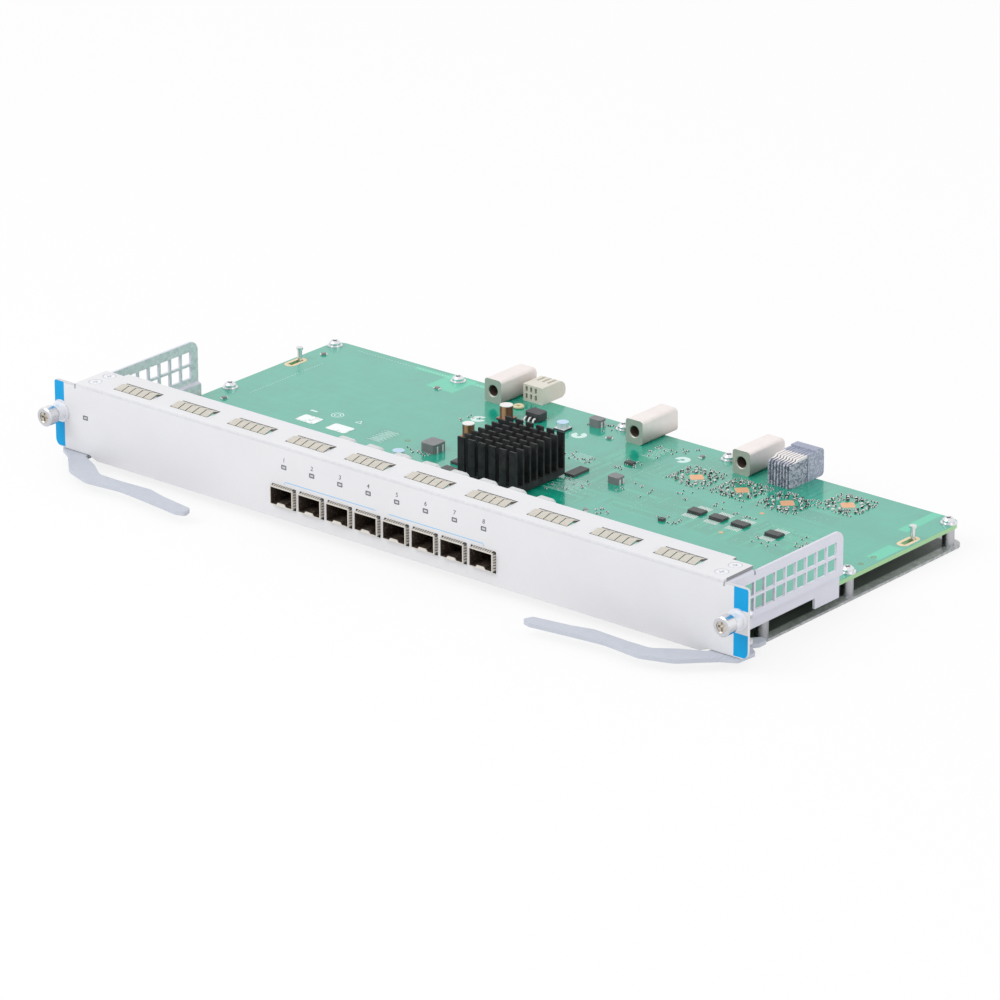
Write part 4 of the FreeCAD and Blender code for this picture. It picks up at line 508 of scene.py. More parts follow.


# Nickel with painted dark reflections in bands along the knob, and a cross recess that shows the warm metal
# under it
def knobMetal():
    made = brushed("knobNickel", (0.80, 0.80, 0.83), 0.22, 0.004, 0.2)
    x, y, z = made.axes()
    deep = 0
    for side in ("left", "right"):
        middle = middleOf("captive_screw_" + side)
        dx, dz = x - middle[0], z - middle[2]
        start, stop = (boxOf("captive_screw_" + side)[0][1] + depth for depth in knob["recessDepth"])
        near = (dx * dx + dz * dz).root().under(knob["recessReach"], 0.1)
        deep = near * y.between(start, stop, 0.05) + deep
    # painted reflections: a dark band along the lower side of the knob and a fainter one near its top
    up = made.facing(2)
    darkReflections = up.between(-0.75, 0.15, 0.4) + up.between(0.72, 0.93, 0.1) * 0.6
    tone = made.mix(darkReflections * 0.5, made.mix(made.noise(0.6, 3), *knob["nickel"]), knob["band"])
    return made.feed("Base Color", made.mix(deep, tone, knob["recess"]))


cast = {
    "bore": 2.65,
    "boreHeight": 5.9,
    "face": (0.42, 0.46, 0.40),
    # painted shade in the bores
    "inside": (0.15, 0.115, 0.09),
    "pale": ((0.76, 0.69, 0.67), (0.86, 0.81, 0.79)),
    "low": (0.30, 0.27, 0.24),
}


# Cast zinc: pale and faintly pink at the top and rear, with painted shade low down near the front, where it
# takes the board's shade, greenish and darker on the front face, and painted dark brown shade in the bore
def castMetal():
    made = Finish("dieCast", cast["pale"][0], 0.36, 0.25)
    x, y, z = made.axes()
    low, high = boxOf("guide_block_1")
    height = (z - boardTop) / (high[2] - boardTop)
    depth = (y - low[1]) / (high[1] - low[1])
    shade = (height * 1.1 + depth * 0.5).under(0.55, 0.9) * (1 - made.facing(2).over(0.5, 0.6))
    fine = made.noise(0.35, 3)
    tone = made.mix(shade * 0.95, made.mix(made.noise(5, 3), *cast["pale"]), cast["low"])
    tone = made.mix((-made.facing(1)).over(0.7, 0.1), tone, cast["face"])
    # painted dark shade in each guide block's bore
    up = z - (boardTop + cast["boreHeight"])
    for k in (1, 2, 3):
        across = x - middleOf("guide_block_%d" % k)[0]
        tone = made.mix((across * across + up * up).root().under(cast["bore"], 0.05), tone, cast["inside"])
    made.feed("Base Color", tone)
    made.feed("Roughness", fine * 0.2 + 0.26)
    return made.bump(fine, 0.02)


# Cage sheet: bright outside and at the lip, with painted shade where the mouth is deep, painted glints in
# that shade, and painted shade beside the springy fingers
def cageSheet():
    made = Finish("cageSheet", (0.76, 0.72, 0.66), 0.36, 0.6)
    x, y, z = made.axes()
    near = fromPort(x)
    # painted shade deep in each port's mouth
    inside = near.under(mouth["halfInside"], 0.03) * y.over(mouth["lip"], 0.05)
    inside = inside * z.between(boardTop + mouth["floor"], boardTop + mouth["roof"], 0.03)
    scratch = made.noise(0.6, 3, made.stretched(1, 0.1, 1))
    # painted glints: lighter spots in the mouth's painted shade
    glints = made.noise(1.1, 2).over(0.6, 0.08) * 0.5
    # the sheet between the springy fingers is in the shade of the panel's window
    outside = near.over(mouth["halfInside"] + 0.25, 0.03).most(z.over(boardTop + mouth["roof"] + 0.2, 0.03))
    shaded = outside * y.between(*mouth["shaded"], 0.1) * 0.7
    bright = made.mix(shaded, made.mix(scratch, *mouth["bright"]), mouth["gapDark"])
    made.feed("Base Color", made.mix(inside, bright, made.mix(glints, mouth["dark"], mouth["glint"])))
    made.feed("Metallic", 0.6 - inside * 0.6)
    made.feed("Roughness", scratch * 0.2 + inside * 0.15 + 0.26)
    return made.bump(scratch, 0.008)


gasket = {
    "metal": ((0.52, 0.49, 0.43), (0.70, 0.66, 0.59)),
    # painted shade on the fingers' side faces, in the slits
    "slit": (0.10, 0.095, 0.09),
}


# Gasket fingers: pale spring metal, with painted shade on their side faces in the slits between them
def gasketMetal():
    made = Finish("gasketMetal", (0.70, 0.67, 0.60), 0.4, 0.5)
    sideways = made.facing(0)
    scratch = made.noise(0.6, 3, made.stretched(0.2, 1, 1))
    slits = (sideways * sideways).over(0.5, 0.1)
    made.feed("Base Color", made.mix(slits, made.mix(scratch, *gasket["metal"]), gasket["slit"]))
    made.feed("Roughness", scratch * 0.2 + 0.3)
    return made.bump(scratch, 0.01)


signal = {
    "waferSpot": 0.75,
    "waferSide": ((0.17, 0.19, 0.25), (0.46, 0.47, 0.55)),
    "waferComb": (0.80, 0.77, 0.77),
    "combDepth": 1.1,
    "housingSpot": 0.7,
    "housingSide": ((0.30, 0.33, 0.43), (0.48, 0.50, 0.60)),
    "housingTop": ((0.27, 0.30, 0.40), (0.36, 0.39, 0.49)),
}


# Wafers: white combs on top, and a mottled pattern of contacts on the sides
def waferResin():
    made = Finish("waferResin", (0.50, 0.50, 0.55), 0.5)
    x, y, z = made.axes()
    combs = z.over(boxOf("signal_wafers")[1][2] - signal["combDepth"], 0.2)
    spots = made.grey(made.cells(signal["waferSpot"]))
    side = made.mix(spots.over(0.42, 0.2), *signal["waferSide"])
    made.feed("Base Color", made.mix(combs, side, signal["waferComb"]))
    made.feed("Roughness", made.noise(0.4, 3) * 0.2 + 0.4)
    return made.bump(spots, 0.03)


# Housing of the signal connector: grey-blue, plain on top and with a pale fine pattern on the sides
def housingResin():
    made = Finish("greyBlueResin", signal["housingSide"][0], 0.5)
    speckled = made.mix(made.grey(made.cells(signal["housingSpot"])).over(0.62, 0.1), *signal["housingSide"])
    plain = made.mix(made.noise(4, 3), *signal["housingTop"])
    made.feed("Base Color", made.mix(made.facing(2).over(0.6, 0.1), speckled, plain))
    made.feed("Roughness", made.noise(0.4, 3) * 0.2 + 0.4)
    return made.bump(made.noise(0.4, 3), 0.02)


ceramic = {
    "spot": 0.8,
    "tones": ((0.035, 0.035, 0.035), (0.74, 0.75, 0.73)),
}


# Tiny ceramic parts: a fine speckle of dark bodies and white ends
def ceramicParts():
    made = Finish("ceramic", (0.20, 0.19, 0.17), 0.5)
    spots = made.grey(made.cells(ceramic["spot"]))
    made.feed("Base Color", made.mix(spots.over(0.52, 0.08), *ceramic["tones"]))
    made.feed("Roughness", made.noise(0.4) * 0.2 + 0.4)
    return made.bump(spots, 0.02)


def clearPlastic():
    made = Finish("clearPlastic", (0.88, 0.90, 0.91), 0.2, Transmission_Weight=0.4, IOR=1.49)
    made.feed("Roughness", made.noise(1.5, 3) * 0.2 + 0.12)
    return made.bump(made.noise(0.8), 0.02)


cans = {
    "lowOnes": (-56.5, -35.0),           # the low cans stand outside these two lines
    "tallTop": 6.9,
    "lowTop": 3.3,
    "foot": 0.95,
    # the sleeve's colour, from its dark side to its painted highlight
    "sleeve": ((0.11, 0.035, 0.015), (0.66, 0.30, 0.17)),
    "tallLid": (0.82, 0.80, 0.79),
    "lowSide": ((0.62, 0.66, 0.70), (0.80, 0.83, 0.86)),
    "lowLid": (0.50, 0.67, 0.84),
    "footTone": (0.05, 0.05, 0.06),
}


# Tall cans have a copper-brown sleeve and a white top, low ones a pale can and a light blue top
def canSleeve():
    made = Finish("canSleeve", (0.40, 0.17, 0.08), 0.32, 0.3)
    x, y, z = made.axes()
    low = x.under(cans["lowOnes"][0], 0.1) + x.over(cans["lowOnes"][1], 0.1)
    streak = made.noise(1.2, 3, made.stretched(1, 1, 0.2))
    # painted highlight on the sleeve, on the faces turned between straight along Y and halfway towards +X
    glint = made.facing(0).between(-0.05, 0.55, 0.3)
    sleeve = made.mix(glint * 0.8 + streak * 0.2, *cans["sleeve"])
    tall = made.mix(z.over(boardTop + cans["tallTop"], 0.05), sleeve, cans["tallLid"])
    short = made.mix(streak, *cans["lowSide"])
    short = made.mix(z.over(boardTop + cans["lowTop"], 0.05), short, cans["lowLid"])
    foot = z.under(boardTop + cans["foot"], 0.05)
    made.feed("Base Color", made.mix(foot, made.mix(low, tall, short), cans["footTone"]))
    made.feed("Metallic", (1 - foot) * 0.3)
    made.feed("Roughness", streak * 0.2 + 0.22)
    return made.bump(streak, 0.01)


sticker = {
    "paper": (0.82, 0.86, 0.86),
    "ink": (0.35, 0.42, 0.42),
    "block": 0.9,
    "patch": 7,
}


# White stickers with a faint grey print of small blocks
def stickerPaper():
    made = Finish("stickerPaper", (0.80, 0.84, 0.84), 0.5)
    flat = made.stretched(1, 1, 0.001)
    blocks = made.grey(made.cells(sticker["block"], place=flat, loose=0.2)).over(0.55, 0.1)
    printed = made.noise(sticker["patch"], 1, flat).over(0.52, 0.05) * blocks
    made.feed("Base Color", made.mix(printed * 0.5, sticker["paper"], sticker["ink"]))
    made.feed("Roughness", made.noise(0.8) * 0.1 + 0.42)
    return made.bump(made.noise(0.6), 0.01)


finishes = {
    "panel": panelPaint(),
    "bracket": bracketPaint(),
    "galvanised": plateSheet(),
    "board": boardMask(),
    "gasket": gasketMetal(),
    "paintedScrew": plastic("paintedScrew", (0.76, 0.77, 0.81), 0.4, 0.4),
    "zinc": brushed("zincScrew", (0.80, 0.81, 0.84), 0.24, 0.005),
    "steel": brushed("plainSteel", (0.52, 0.52, 0.55), 0.3),
    "cage": cageSheet(),
    "black": plastic("blackResin", (0.022, 0.022, 0.026), 0.5, 0.4),
    "clear": clearPlastic(),
    "lever": plastic("leverPaint", (0.50, 0.53, 0.60), 0.42, 0.4, 0.02),
    "knob": knobMetal(),
    "nickel": brushed("nickel", (0.78, 0.78, 0.80), 0.2, 0.004, 0.2),
    "ferrule": plastic("ferruleWhite", (0.80, 0.81, 0.85), 0.35, 0.6, metallic=0.2),
    "cast": castMetal(),
    "cream": plastic("creamResin", (0.68, 0.65, 0.57), 0.5, 0.4),
    "greyBlue": housingResin(),
    "wafer": waferResin(),
    "sink": plastic("blackAnodised", (0.0045, 0.005, 0.007), 0.45, 0.3, 0.015, 0.05, Specular_IOR_Level=0.1),
    "chipResin": plastic("chipResin", (0.042, 0.046, 0.047), 0.5, 0.4),
    "ferrite": plastic("ferrite", (0.18, 0.185, 0.19), 0.5, 0.3, 0.03),
    "can": canSleeve(),
    "ceramic": ceramicParts(),
    "gold": brushed("goldPlate", (0.84, 0.65, 0.41), 0.4, metallic=0.35),
    "spring": brushed("springFingers", (0.60, 0.56, 0.50), 0.36, metallic=0.4),
    "greyChip": plastic("greyChip", (0.24, 0.25, 0.25), 0.5, 0.4),
    "via": plastic("viaRing", (0.16, 0.24, 0.12), 0.4, 0.4, 0.01),
    "tin": brushed("tinnedPads", (0.80, 0.81, 0.80), 0.35, 0.006, metallic=0.25),
    "silk": plastic("silkPrint", board["silk"], 0.45, 0.4, 0.01),
    "copperPad": plastic("barePad", (0.80, 0.42, 0.22), 0.4, 0.4, 0.01, 0.3),
    "sticker": stickerPaper(),
    "greyPrint": plastic("greyPrint", (0.11, 0.11, 0.13), 0.5, 0.3, 0.005),
    "bluePrint": plastic("bluePrint", (0.26, 0.53, 0.80), 0.5, 0.3, 0.005),
    "coil": plastic("creamCoil", (0.76, 0.66, 0.42), 0.45, 0.3),
}
# The finish of each node, by the longest of these that its name starts with
nodeFinish = {
    "front_panel": "panel", "side_bracket": "bracket", "base_plate": "galvanised", "circuit_board": "board",
    "gasket": "gasket", "flange_screws": "paintedScrew", "board_screws": "zinc", "board_washers": "zinc",
    "standoffs": "steel", "module_cage": "cage", "host": "black", "light_pipe": "clear", "status": "clear",
    "ejector": "lever", "lever": "steel", "captive_screw": "knob", "captive_spring": "steel",
    "ferrule": "ferrule", "retaining": "nickel", "guide_block": "cast", "power_connector": "cream",
    "signal_housing": "greyBlue", "signal_wafers": "wafer", "heat_sink": "sink", "processor": "black",
    "flat_chips": "chipResin", "small_outline": "chipResin", "pulse": "black", "power_inductors": "ferrite",
    "capacitor": "can", "chip_capacitors": "ceramic", "ground_pins": "nickel",
}
for name, item in frame["nodes"].items():
    match = max((key for key in nodeFinish if name.startswith(key)), key=len)
    for holder in item.material_slots:
        holder.material = finishes[nodeFinish[match]].material
print("finishes on", len(frame["nodes"]), "nodes")

# Each captive screw's spring gets its own copy of its mesh
for joint in frame["record"]["behaviour"]["joints"]:
    for spring in joint.get("deforming_nodes", []):
        low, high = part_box(spring["node"])
        end = spring["fixed_end_y_m"]
        length = max(abs(low[1] - end), abs(high[1] - end))
        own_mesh(frame["nodes"][spring["node"]], joint["name"], (0, 1, 0),
                  ((low[0] + high[0]) / 2, end, (low[2] + high[2]) / 2), 1 - joint["range_m"][1] / length)


# A form is its points, in mm with y from the panel's face, and a list of arrays of faces.
# Rings of points, one row each, joined by quads: row i, place k joins row i + 1 and place k + 1
def loft(rings, closed=False):
    rows, steps = rings.shape[:2]
    grid = np.arange(rows * steps).reshape(rows, steps)
    upper = np.roll(grid, -1, 0) if closed else grid[1:]
    lower = grid if closed else grid[:-1]
    quads = np.stack([lower, np.roll(lower, -1, 1), np.roll(upper, -1, 1), upper], -1).reshape(-1, 4)
    ends = [] if closed else [grid[:1, ::-1], grid[-1:]]
    return rings.reshape(-1, 3), [quads] + ends


# A rounded rectangle: four quarter turns, each about its own corner's centre
def rounded(width, depth, corner, steps=3):
    turn = np.linspace(0, math.pi / 2, steps)[None, :] + np.arange(4)[:, None] * math.pi / 2
    signs = np.array([(1, 1), (-1, 1), (-1, -1), (1, -1)])
    middle = signs * (width / 2 - corner, depth / 2 - corner)
    return (middle[:, None, :] + corner * np.stack([np.cos(turn), np.sin(turn)], -1)).reshape(-1, 2)


# Rounded rectangles stacked at the heights of the levels, each pulled in by the level's inset
def stacked(width, depth, levels, corner, steps=3):
    rings = [np.column_stack([rounded(width - 2 * inset, depth - 2 * inset, max(corner - inset, 0.02), steps),
                              np.full(4 * steps, z)]) for z, inset in levels]
    return loft(np.array(rings))


# A flat rounded rectangle, as thick as a print
def tile(width, depth, corner, steps=3, thick=film):
    return stacked(width, depth, [(0, 0), (thick, 0)], corner, steps)


# A block with its top edge bevelled
def block(width, depth, height, bevel, corner):
    return stacked(width, depth, [(0, 0), (height - bevel, 0), (height, bevel)], corner, 2)


# A profile of (radius, height) turned about Z; a closed profile runs round the section of a ring
def turned(profile, steps=20, closed=False):
    turn = np.arange(steps) * 2 * math.pi / steps
    radius, height = np.array(profile, float).T
    rings = np.stack([radius[:, None] * np.cos(turn), radius[:, None] * np.sin(turn),
                      np.repeat(height[:, None], steps, 1)], -1)
    return loft(rings, closed)


# A flat band between an outer and an inner outline, with a small thickness: outside up, inside down
def band(outer, inner, thick):
    rings = [np.column_stack([outline, np.full(len(outline), z)])
             for outline, z in ((outer, 0), (outer, thick), (inner, thick), (inner, 0))]
    return loft(np.array(rings), closed=True)


# Points on a circle: the radius times (cos, sin) of each turn, in degrees
def arc(radius, start, stop, steps=25):
    turn = np.radians(np.linspace(start, stop, steps))
    return np.column_stack([radius * np.cos(turn), radius * np.sin(turn)])


# A strip of one width along a line of points: each point is set off along its own normal
def strip(points, width, thick):
    points = np.array(points, float)
    along = np.gradient(points, axis=0)
    along /= np.linalg.norm(along, axis=1)[:, None]
    off = np.column_stack([-along[:, 1], along[:, 0]]) * width / 2
    section = [(points - off, 0), (points + off, 0), (points + off, thick), (points - off, thick)]
    rings = np.stack([np.column_stack([line, np.full(len(points), z)]) for line, z in section], 1)
    return loft(rings[:, ::-1])


# Copies of a form, each stretched, turned about Z and moved
def spread(form, places, turns=0.0, sizes=1.0):
    points, faces = form
    places = np.array(places, float).reshape(-1, 3)
    count = len(places)
    turns = np.broadcast_to(np.asarray(turns, float), (count,))
    sizes = np.asarray(sizes, float)
    sizes = np.broadcast_to(sizes if sizes.ndim == 2 else sizes.reshape(-1, 1), (count, 3))
    local = points[None] * sizes[:, None]
    cos, sin = np.cos(turns)[:, None], np.sin(turns)[:, None]
    moved = np.stack([local[..., 0] * cos - local[..., 1] * sin, local[..., 0] * sin + local[..., 1] * cos,
                      local[..., 2]], -1) + places[:, None]
    step = np.arange(count)[:, None, None] * len(points)
    return moved.reshape(-1, 3), [(face[None] + step).reshape(-1, face.shape[1]) for face in faces]


# Forms put together as one: the faces of each count on from the points before it
def joined(forms):
    start, points, faces = 0, [], []
    for own, rows in forms:
        points.append(own)
        faces += [face + start for face in rows]
        start += len(own)
    return np.concatenate(points), faces


# From a form that lies flat to one that stands on the panel's face: its y becomes height
def upright(form):
    points, faces = form
    return np.column_stack([points[:, 0], -points[:, 2], points[:, 1]]), faces


# A form as an object that rides on a body, shaded smooth up to the crease's angle in degrees
def piece(name, form, finish, body="card", crease=35):
    points, faces = form
    mesh = bpy.data.meshes.new(name)
    rows = [row for face in faces for row in face.tolist()]
    mesh.from_pydata((points * mm + (0, faceY, 0)).tolist(), [], rows)
    mesh.polygons.foreach_set("use_smooth", np.ones(len(mesh.polygons), bool))
    mesh.set_sharp_from_angle(angle=math.radians(crease))
    mesh.materials.append(finishes[finish].material)
    made = bpy.data.objects.new(name, mesh)
    bpy.context.scene.collection.objects.link(made)
    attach(made, body)
    return made


# Places on the board's top face
def onBoard(spots):
    return [(x, y, boardTop) for x, y in spots]


# Flat lettering as triangles, centred on the origin
def lettering(text, size, lean):
    curve = bpy.data.curves.new("lettering", "FONT")
    curve.body = text
    curve.size = size
    curve.shear = lean
    curve.offset = size * 0.012
    curve.align_x = "CENTER"
    curve.align_y = "CENTER"
    holder = bpy.data.objects.new("lettering", curve)
    mesh = bpy.data.meshes.new_from_object(holder)
    mesh.calc_loop_triangles()
    points = np.empty(len(mesh.vertices) * 3)
    mesh.vertices.foreach_get("co", points)
    faces = np.empty(len(mesh.loop_triangles) * 3, int)
    mesh.loop_triangles.foreach_get("vertices", faces)
    bpy.data.meshes.remove(mesh)
    bpy.data.objects.remove(holder)
    bpy.data.curves.remove(curve)
    return points.reshape(-1, 3), [faces.reshape(-1, 3)]


# Prints on the panel: a number and a frame over each port, and the rule that spans the ports in two parts
ports = {
    "numberHeight": 32.8,
    "numberSize": 2.9,
    "numberLean": 0.12,
    "windowShift": 0.15,
    "windowHeight": 29.5,
    "frame": (3.0, 2.1, 0.3),            # width, height and corner
    "frameOpening": (1.9, 1.0, 0.15),
    "status": (-180.6, 23.9),
    "railHeight": 22.6,
    "railDrop": 1.1,
    "railCorner": 0.5,
    "railEnds": (-59.3, 55.6),
    "railGap": (-6.2, 1.6),
    "railWidth": 0.42,
}
portX = mouth["first"] + mouth["pitch"] * np.arange(mouth["count"])
windowX = portX + ports["windowShift"]
digits = [spread(lettering(str(k + 1), ports["numberSize"], ports["numberLean"]),
                 (x, ports["numberHeight"], film)) for k, x in enumerate(windowX)]
piece("port_numbers", upright(joined(digits)), "greyPrint")
frames = band(rounded(*ports["frame"]), rounded(*ports["frameOpening"]), 2 * film)
spots = [(x, ports["windowHeight"], 0) for x in windowX] + [(*ports["status"], 0)]
piece("window_frames", upright(spread(frames, spots)), "greyPrint")
railTop, corner = ports["railHeight"], ports["railCorner"]
rails = []
for end, stop in zip(ports["railEnds"], ports["railGap"]):
    turn = corner if stop > end else -corner
    rails.append(strip([(end, railTop - ports["railDrop"]), (end, railTop - corner), (end + turn, railTop),
                        (stop, railTop)], ports["railWidth"], film))
piece("port_rail", upright(joined(rails)), "bluePrint")
print("panel prints made")

cage = {
    "width": 13.2,
    "height": 8.7,
    "bulge": 0.36,
    "fingerFront": -1.35,
    "fingerRear": 1.2,
    "fingerWidth": 0.75,
    "fingerPitch": 1.3,
    "fingerMargin": 0.6,
    "sheet": 0.1,
    "steps": 7,
}


# Springy fingers between the cages and the panel's windows, on all four sides: each bulges outwards as
# half a sine along Y
def cageFingers():
    along = np.linspace(0, 1, cage["steps"])
    y = cage["fingerFront"] + (cage["fingerRear"] - cage["fingerFront"]) * along
    out = cage["bulge"] * np.sin(math.pi * along)
    half = cage["fingerWidth"] / 2
    section = [(-half, 0), (half, 0), (half, cage["sheet"]), (-half, cage["sheet"])]
    rings = np.stack([np.column_stack([np.full(len(y), across), y, out + lift])
                      for across, lift in section], 1)
    finger = loft(rings[:, ::-1])
    sides = []
    size = (cage["width"], cage["height"])
    for quarter in range(4):
        span, reach = size if quarter % 2 == 0 else size[::-1]
        count = int((span - cage["fingerMargin"]) / cage["fingerPitch"])
        across = (np.arange(count) - (count - 1) / 2) * cage["fingerPitch"]
        points, faces = spread(finger, np.column_stack([across, np.zeros(count), np.full(count, reach / 2)]))
        cos, sin = round(math.cos(quarter * math.pi / 2)), round(math.sin(quarter * math.pi / 2))
        sides.append((np.column_stack([points[:, 0] * cos + points[:, 2] * sin, points[:, 1],
                                       points[:, 2] * cos - points[:, 0] * sin]), faces))
    return spread(joined(sides), [(x, 0, boardTop + cage["height"] / 2) for x in portX])


piece("cage_fingers", cageFingers(), "spring")

thread = {
    "radius": 1.98,
    "ridge": 0.16,
    "foot": 0.3,
    "pitch": 0.7,
    "front": 3.9,
    "rear": 7.6,
    "steps": 18,
}


# Thread on the free end of a captive screw: one triangular ridge wound round the shank, a pitch a turn
def screwThread(x, z):
    turnsRun = (thread["rear"] - thread["front"]) / thread["pitch"]
    turn = np.linspace(0, 2 * math.pi * turnsRun, int(thread["steps"] * turnsRun))
    fade = np.minimum(1, np.minimum(turn, turn[-1] - turn) / math.pi + 0.05)
    rows = []
    for out, along in ((0, -thread["foot"]), (1, 0), (0, thread["foot"])):
        radius = thread["radius"] + out * thread["ridge"] * fade
        y = thread["front"] + thread["pitch"] * turn / 2 / math.pi + along * fade
        rows.append(np.column_stack([x + radius * np.cos(turn), y, z + radius * np.sin(turn)]))
    return loft(np.stack(rows, 1)[:, ::-1])


for side in ("left", "right"):
    middle = middleOf("captive_screw_" + side)
    piece("screw_thread_" + side, screwThread(middle[0], middle[2]), "knob", "screw_" + side, 80)
print("fingers and threads made")

# Prints and pads on the board: places are (x, y from the face)
marks = {
    "stickers": ((-123.2, 88.6, 11.2, 8.0), (-104.5, 88.6, 11.8, 8.0)),
    "dash": (-128.8, 98.2, 4.0, 1.4),
    "ring": (-116.8, 101.0, 3.1, 0.45),            # place, radius and line
    "innerRing": 0.55,                             # share of the ring's radius
    "triangle": (-102.8, 100.0, 2.3, 0.62),        # place, radius and the share that is open
    "openRings": ((-63.4, 138.5), (-14.4, 151.5), (41.5, 157.0)),
    "openTurns": (0.6, 2.1, 4.0),
    "openRing": (2.4, 2.6, 28),                    # radius, line and half of the opening's angle
    "slotRing": (6.0, 13.2, 2.65, 8.65),           # outside, then opening
    "slotPlace": (178.9, 141.8),
    "copperSize": 6.2,
    "copperDot": 1.1,
    "copper": ((59.8, 144.0), (85.2, 144.3), (110.5, 144.5), (132.7, 159.7)),
    "copperDots": ((109.3, 127.5), (109.3, 98.0)),
    "vias": ((178.3, 117.2), (178.5, 107.6), (141.5, 155.5), (-70.5, 96.5)),
    "via": (1.35, 0.6),                            # radius and hole
    "dashes": (((-168, 98), (-168, 150)), ((-166, 172.5), (-100, 172.5)), ((-92, 172.0), (-76, 172.0)),
               ((150, 40), (150, 90))),
    # fields of fine lines: left, right, front, rear and the lines' pitch
    "hatches": ((-87, -78, 87, 101, 0.7), (13, 30, 92, 108, 1.1), (-4, 12, 126, 135, 1.0),
                (23, 31, 150, 164, 1.2)),
    "tick": (0.9, 0.28, 0.05),
    "tickPitch": 1.7,
    "hatchLine": 0.22,
    "hatchStep": 0.25,                             # two lines of three are shorter, by once and twice this
}


# Print of the board: dash, double ring, triangle, open rings, dashed lines and hatched fields
def boardPrints():
    x, y, width, depth = marks["dash"]
    forms = [spread(tile(width, depth, 0.2, 2), (x, y, 0))]
    x, y, reach, line = marks["ring"]
    for radius in (reach, reach * marks["innerRing"]):
        forms.append(spread(band(arc(radius, 0, 345, 24), arc(radius - line, 0, 345, 24), film), (x, y, 0)))
    x, y, radius, opening = marks["triangle"]
    corners = arc(radius, 90, 330, 3)
    forms.append(spread(band(corners, corners * opening, film), (x, y, 0)))
    radius, line, opening = marks["openRing"]
    forms.append(spread(strip(arc(radius, opening, 360 - opening), line, film),
                        [(x, y, 0) for x, y in marks["openRings"]], marks["openTurns"]))
    for ends in marks["dashes"]:
        start, stop = np.array(ends, float)
        count = int(np.linalg.norm(stop - start) / marks["tickPitch"])
        spots = start + (stop - start) * (np.arange(count) / count)[:, None]
        turn = math.atan2(*(stop - start)[::-1])
        forms.append(spread(tile(*marks["tick"], 2), np.column_stack([spots, np.zeros(count)]), turn))
    for left, right, front, rear, pitch in marks["hatches"]:
        places = [((left + right) / 2, y, 0) for y in np.arange(front, rear, pitch)]
        lengths = [(1 - marks["hatchStep"] * (k % 3), 1, 1) for k in range(len(places))]
        forms.append(spread(tile(right - left, marks["hatchLine"], 0.05, 2), places, 0, lengths))
    return spread(joined(forms), (0, 0, boardTop))


piece("board_prints", boardPrints(), "silk")
labels = [spread(tile(width, depth, 1.0, thick=0.1), (x, y, boardTop))
          for x, y, width, depth in marks["stickers"]]
piece("board_stickers", joined(labels), "sticker")
outerWide, outerLong, innerWide, innerLong = marks["slotRing"]
slotRing = band(rounded(outerWide, outerLong, outerWide / 2 - 0.01, 9),
                rounded(innerWide, innerLong, 0.1, 9), 2 * film)
slotX, slotY = marks["slotPlace"]
piece("slot_rings", spread(slotRing, onBoard([(-slotX, slotY), (slotX, slotY)])), "gold")
copper = tile(marks["copperSize"], marks["copperSize"], 0.8)
dot = turned([(marks["copperDot"], 0), (marks["copperDot"], film)], 12)
piece("copper_pads", joined([spread(copper, onBoard(marks["copper"]), math.pi / 4),
                             spread(dot, onBoard(marks["copperDots"]))]), "copperPad")
radius, hole = marks["via"]
viaRing = turned([(radius, 0), (radius, film), (hole, film), (hole, 0)], 14, closed=True)
piece("via_rings", spread(viaRing, onBoard(marks["vias"])), "via")
print("board prints made")

# Chip parts: a body with a metal cap on each end, a small rounded block each
chip = {
    "body": (0.85, 0.62, 0.42, 0.08, 0.1),         # width, depth, height, bevel and corner
    "cap": (0.34, 0.66, 0.46, 0.08, 0.08),
    "capPlace": 0.55,                              # from the middle, as a share of the body's width
    "seed": 7,
    "clear": 0.75,                                 # from the corners of the board's larger parts
    "clearBox": 0.8,                               # from the box of a connector or the sink
    # left, right, front, rear and number of parts of each loose group
    "groups": (
        (76, 89, 90.5, 98, 12), (50, 58, 80, 88, 10), (22, 31, 128, 142, 14), (33, 41, 158, 172, 9),
        (142, 148, 103, 118, 10), (-66, -50, 86, 91, 16), (12, 30, 89, 110, 20), (-5, 12, 125, 136, 14),
        (22, 32, 150, 166, 10), (-22, -6, 160, 173, 9), (-48, -36, 100, 112, 8), (-46, -34, 140, 149, 8),
        (-70, -62, 128, 146, 8), (40, 56, 108, 122, 10), (64, 74, 118, 128, 6), (118, 138, 98, 104, 8),
        (100, 112, 118, 122, 6), (-33, -24, 70, 78, 6), (20, 60, 60, 76, 12), (-20, 14, 62, 72, 14),
        (84, 98, 120, 130, 6),
    ),
    # the square cluster round each copper pad: a grid with a hollow and free diagonals
    "clusterReach": 10.4,
    "clusterHollow": 4.6,
    "clusterPitch": 1.6,
    "clusterShare": 0.62,
    "clusterDiagonal": 1.0,
    "clusterLoose": 0.3,
}


# Spots of the parts, each with its own turn of none or a quarter; the draws come from one seeded source
def partSpots():
    draw = np.random.default_rng(chip["seed"])
    spots, turns = [], []
    for left, right, front, rear, count in chip["groups"]:
        spots.append(np.column_stack([draw.uniform(left, right, count), draw.uniform(front, rear, count)]))
        turns.append(draw.integers(0, 2, count) * math.pi / 2)
    line = np.arange(-chip["clusterReach"], chip["clusterReach"] + 0.1, chip["clusterPitch"])
    gridX, gridY = (values.ravel() for values in np.meshgrid(line, line))
    ring = np.maximum(abs(gridX), abs(gridY)) > chip["clusterHollow"]
    ring &= abs(abs(gridX) - abs(gridY)) > chip["clusterDiagonal"]
    loose = chip["clusterLoose"]
    for x, y in marks["copper"]:
        kept = ring & (draw.random(len(gridX)) < chip["clusterShare"])
        count = kept.sum()
        spots.append(np.column_stack([gridX[kept] + x, gridY[kept] + y])
                     + draw.uniform(-loose, loose, (count, 2)))
        turns.append(draw.integers(0, 2, count) * math.pi / 2)
    return np.concatenate(spots), np.concatenate(turns)


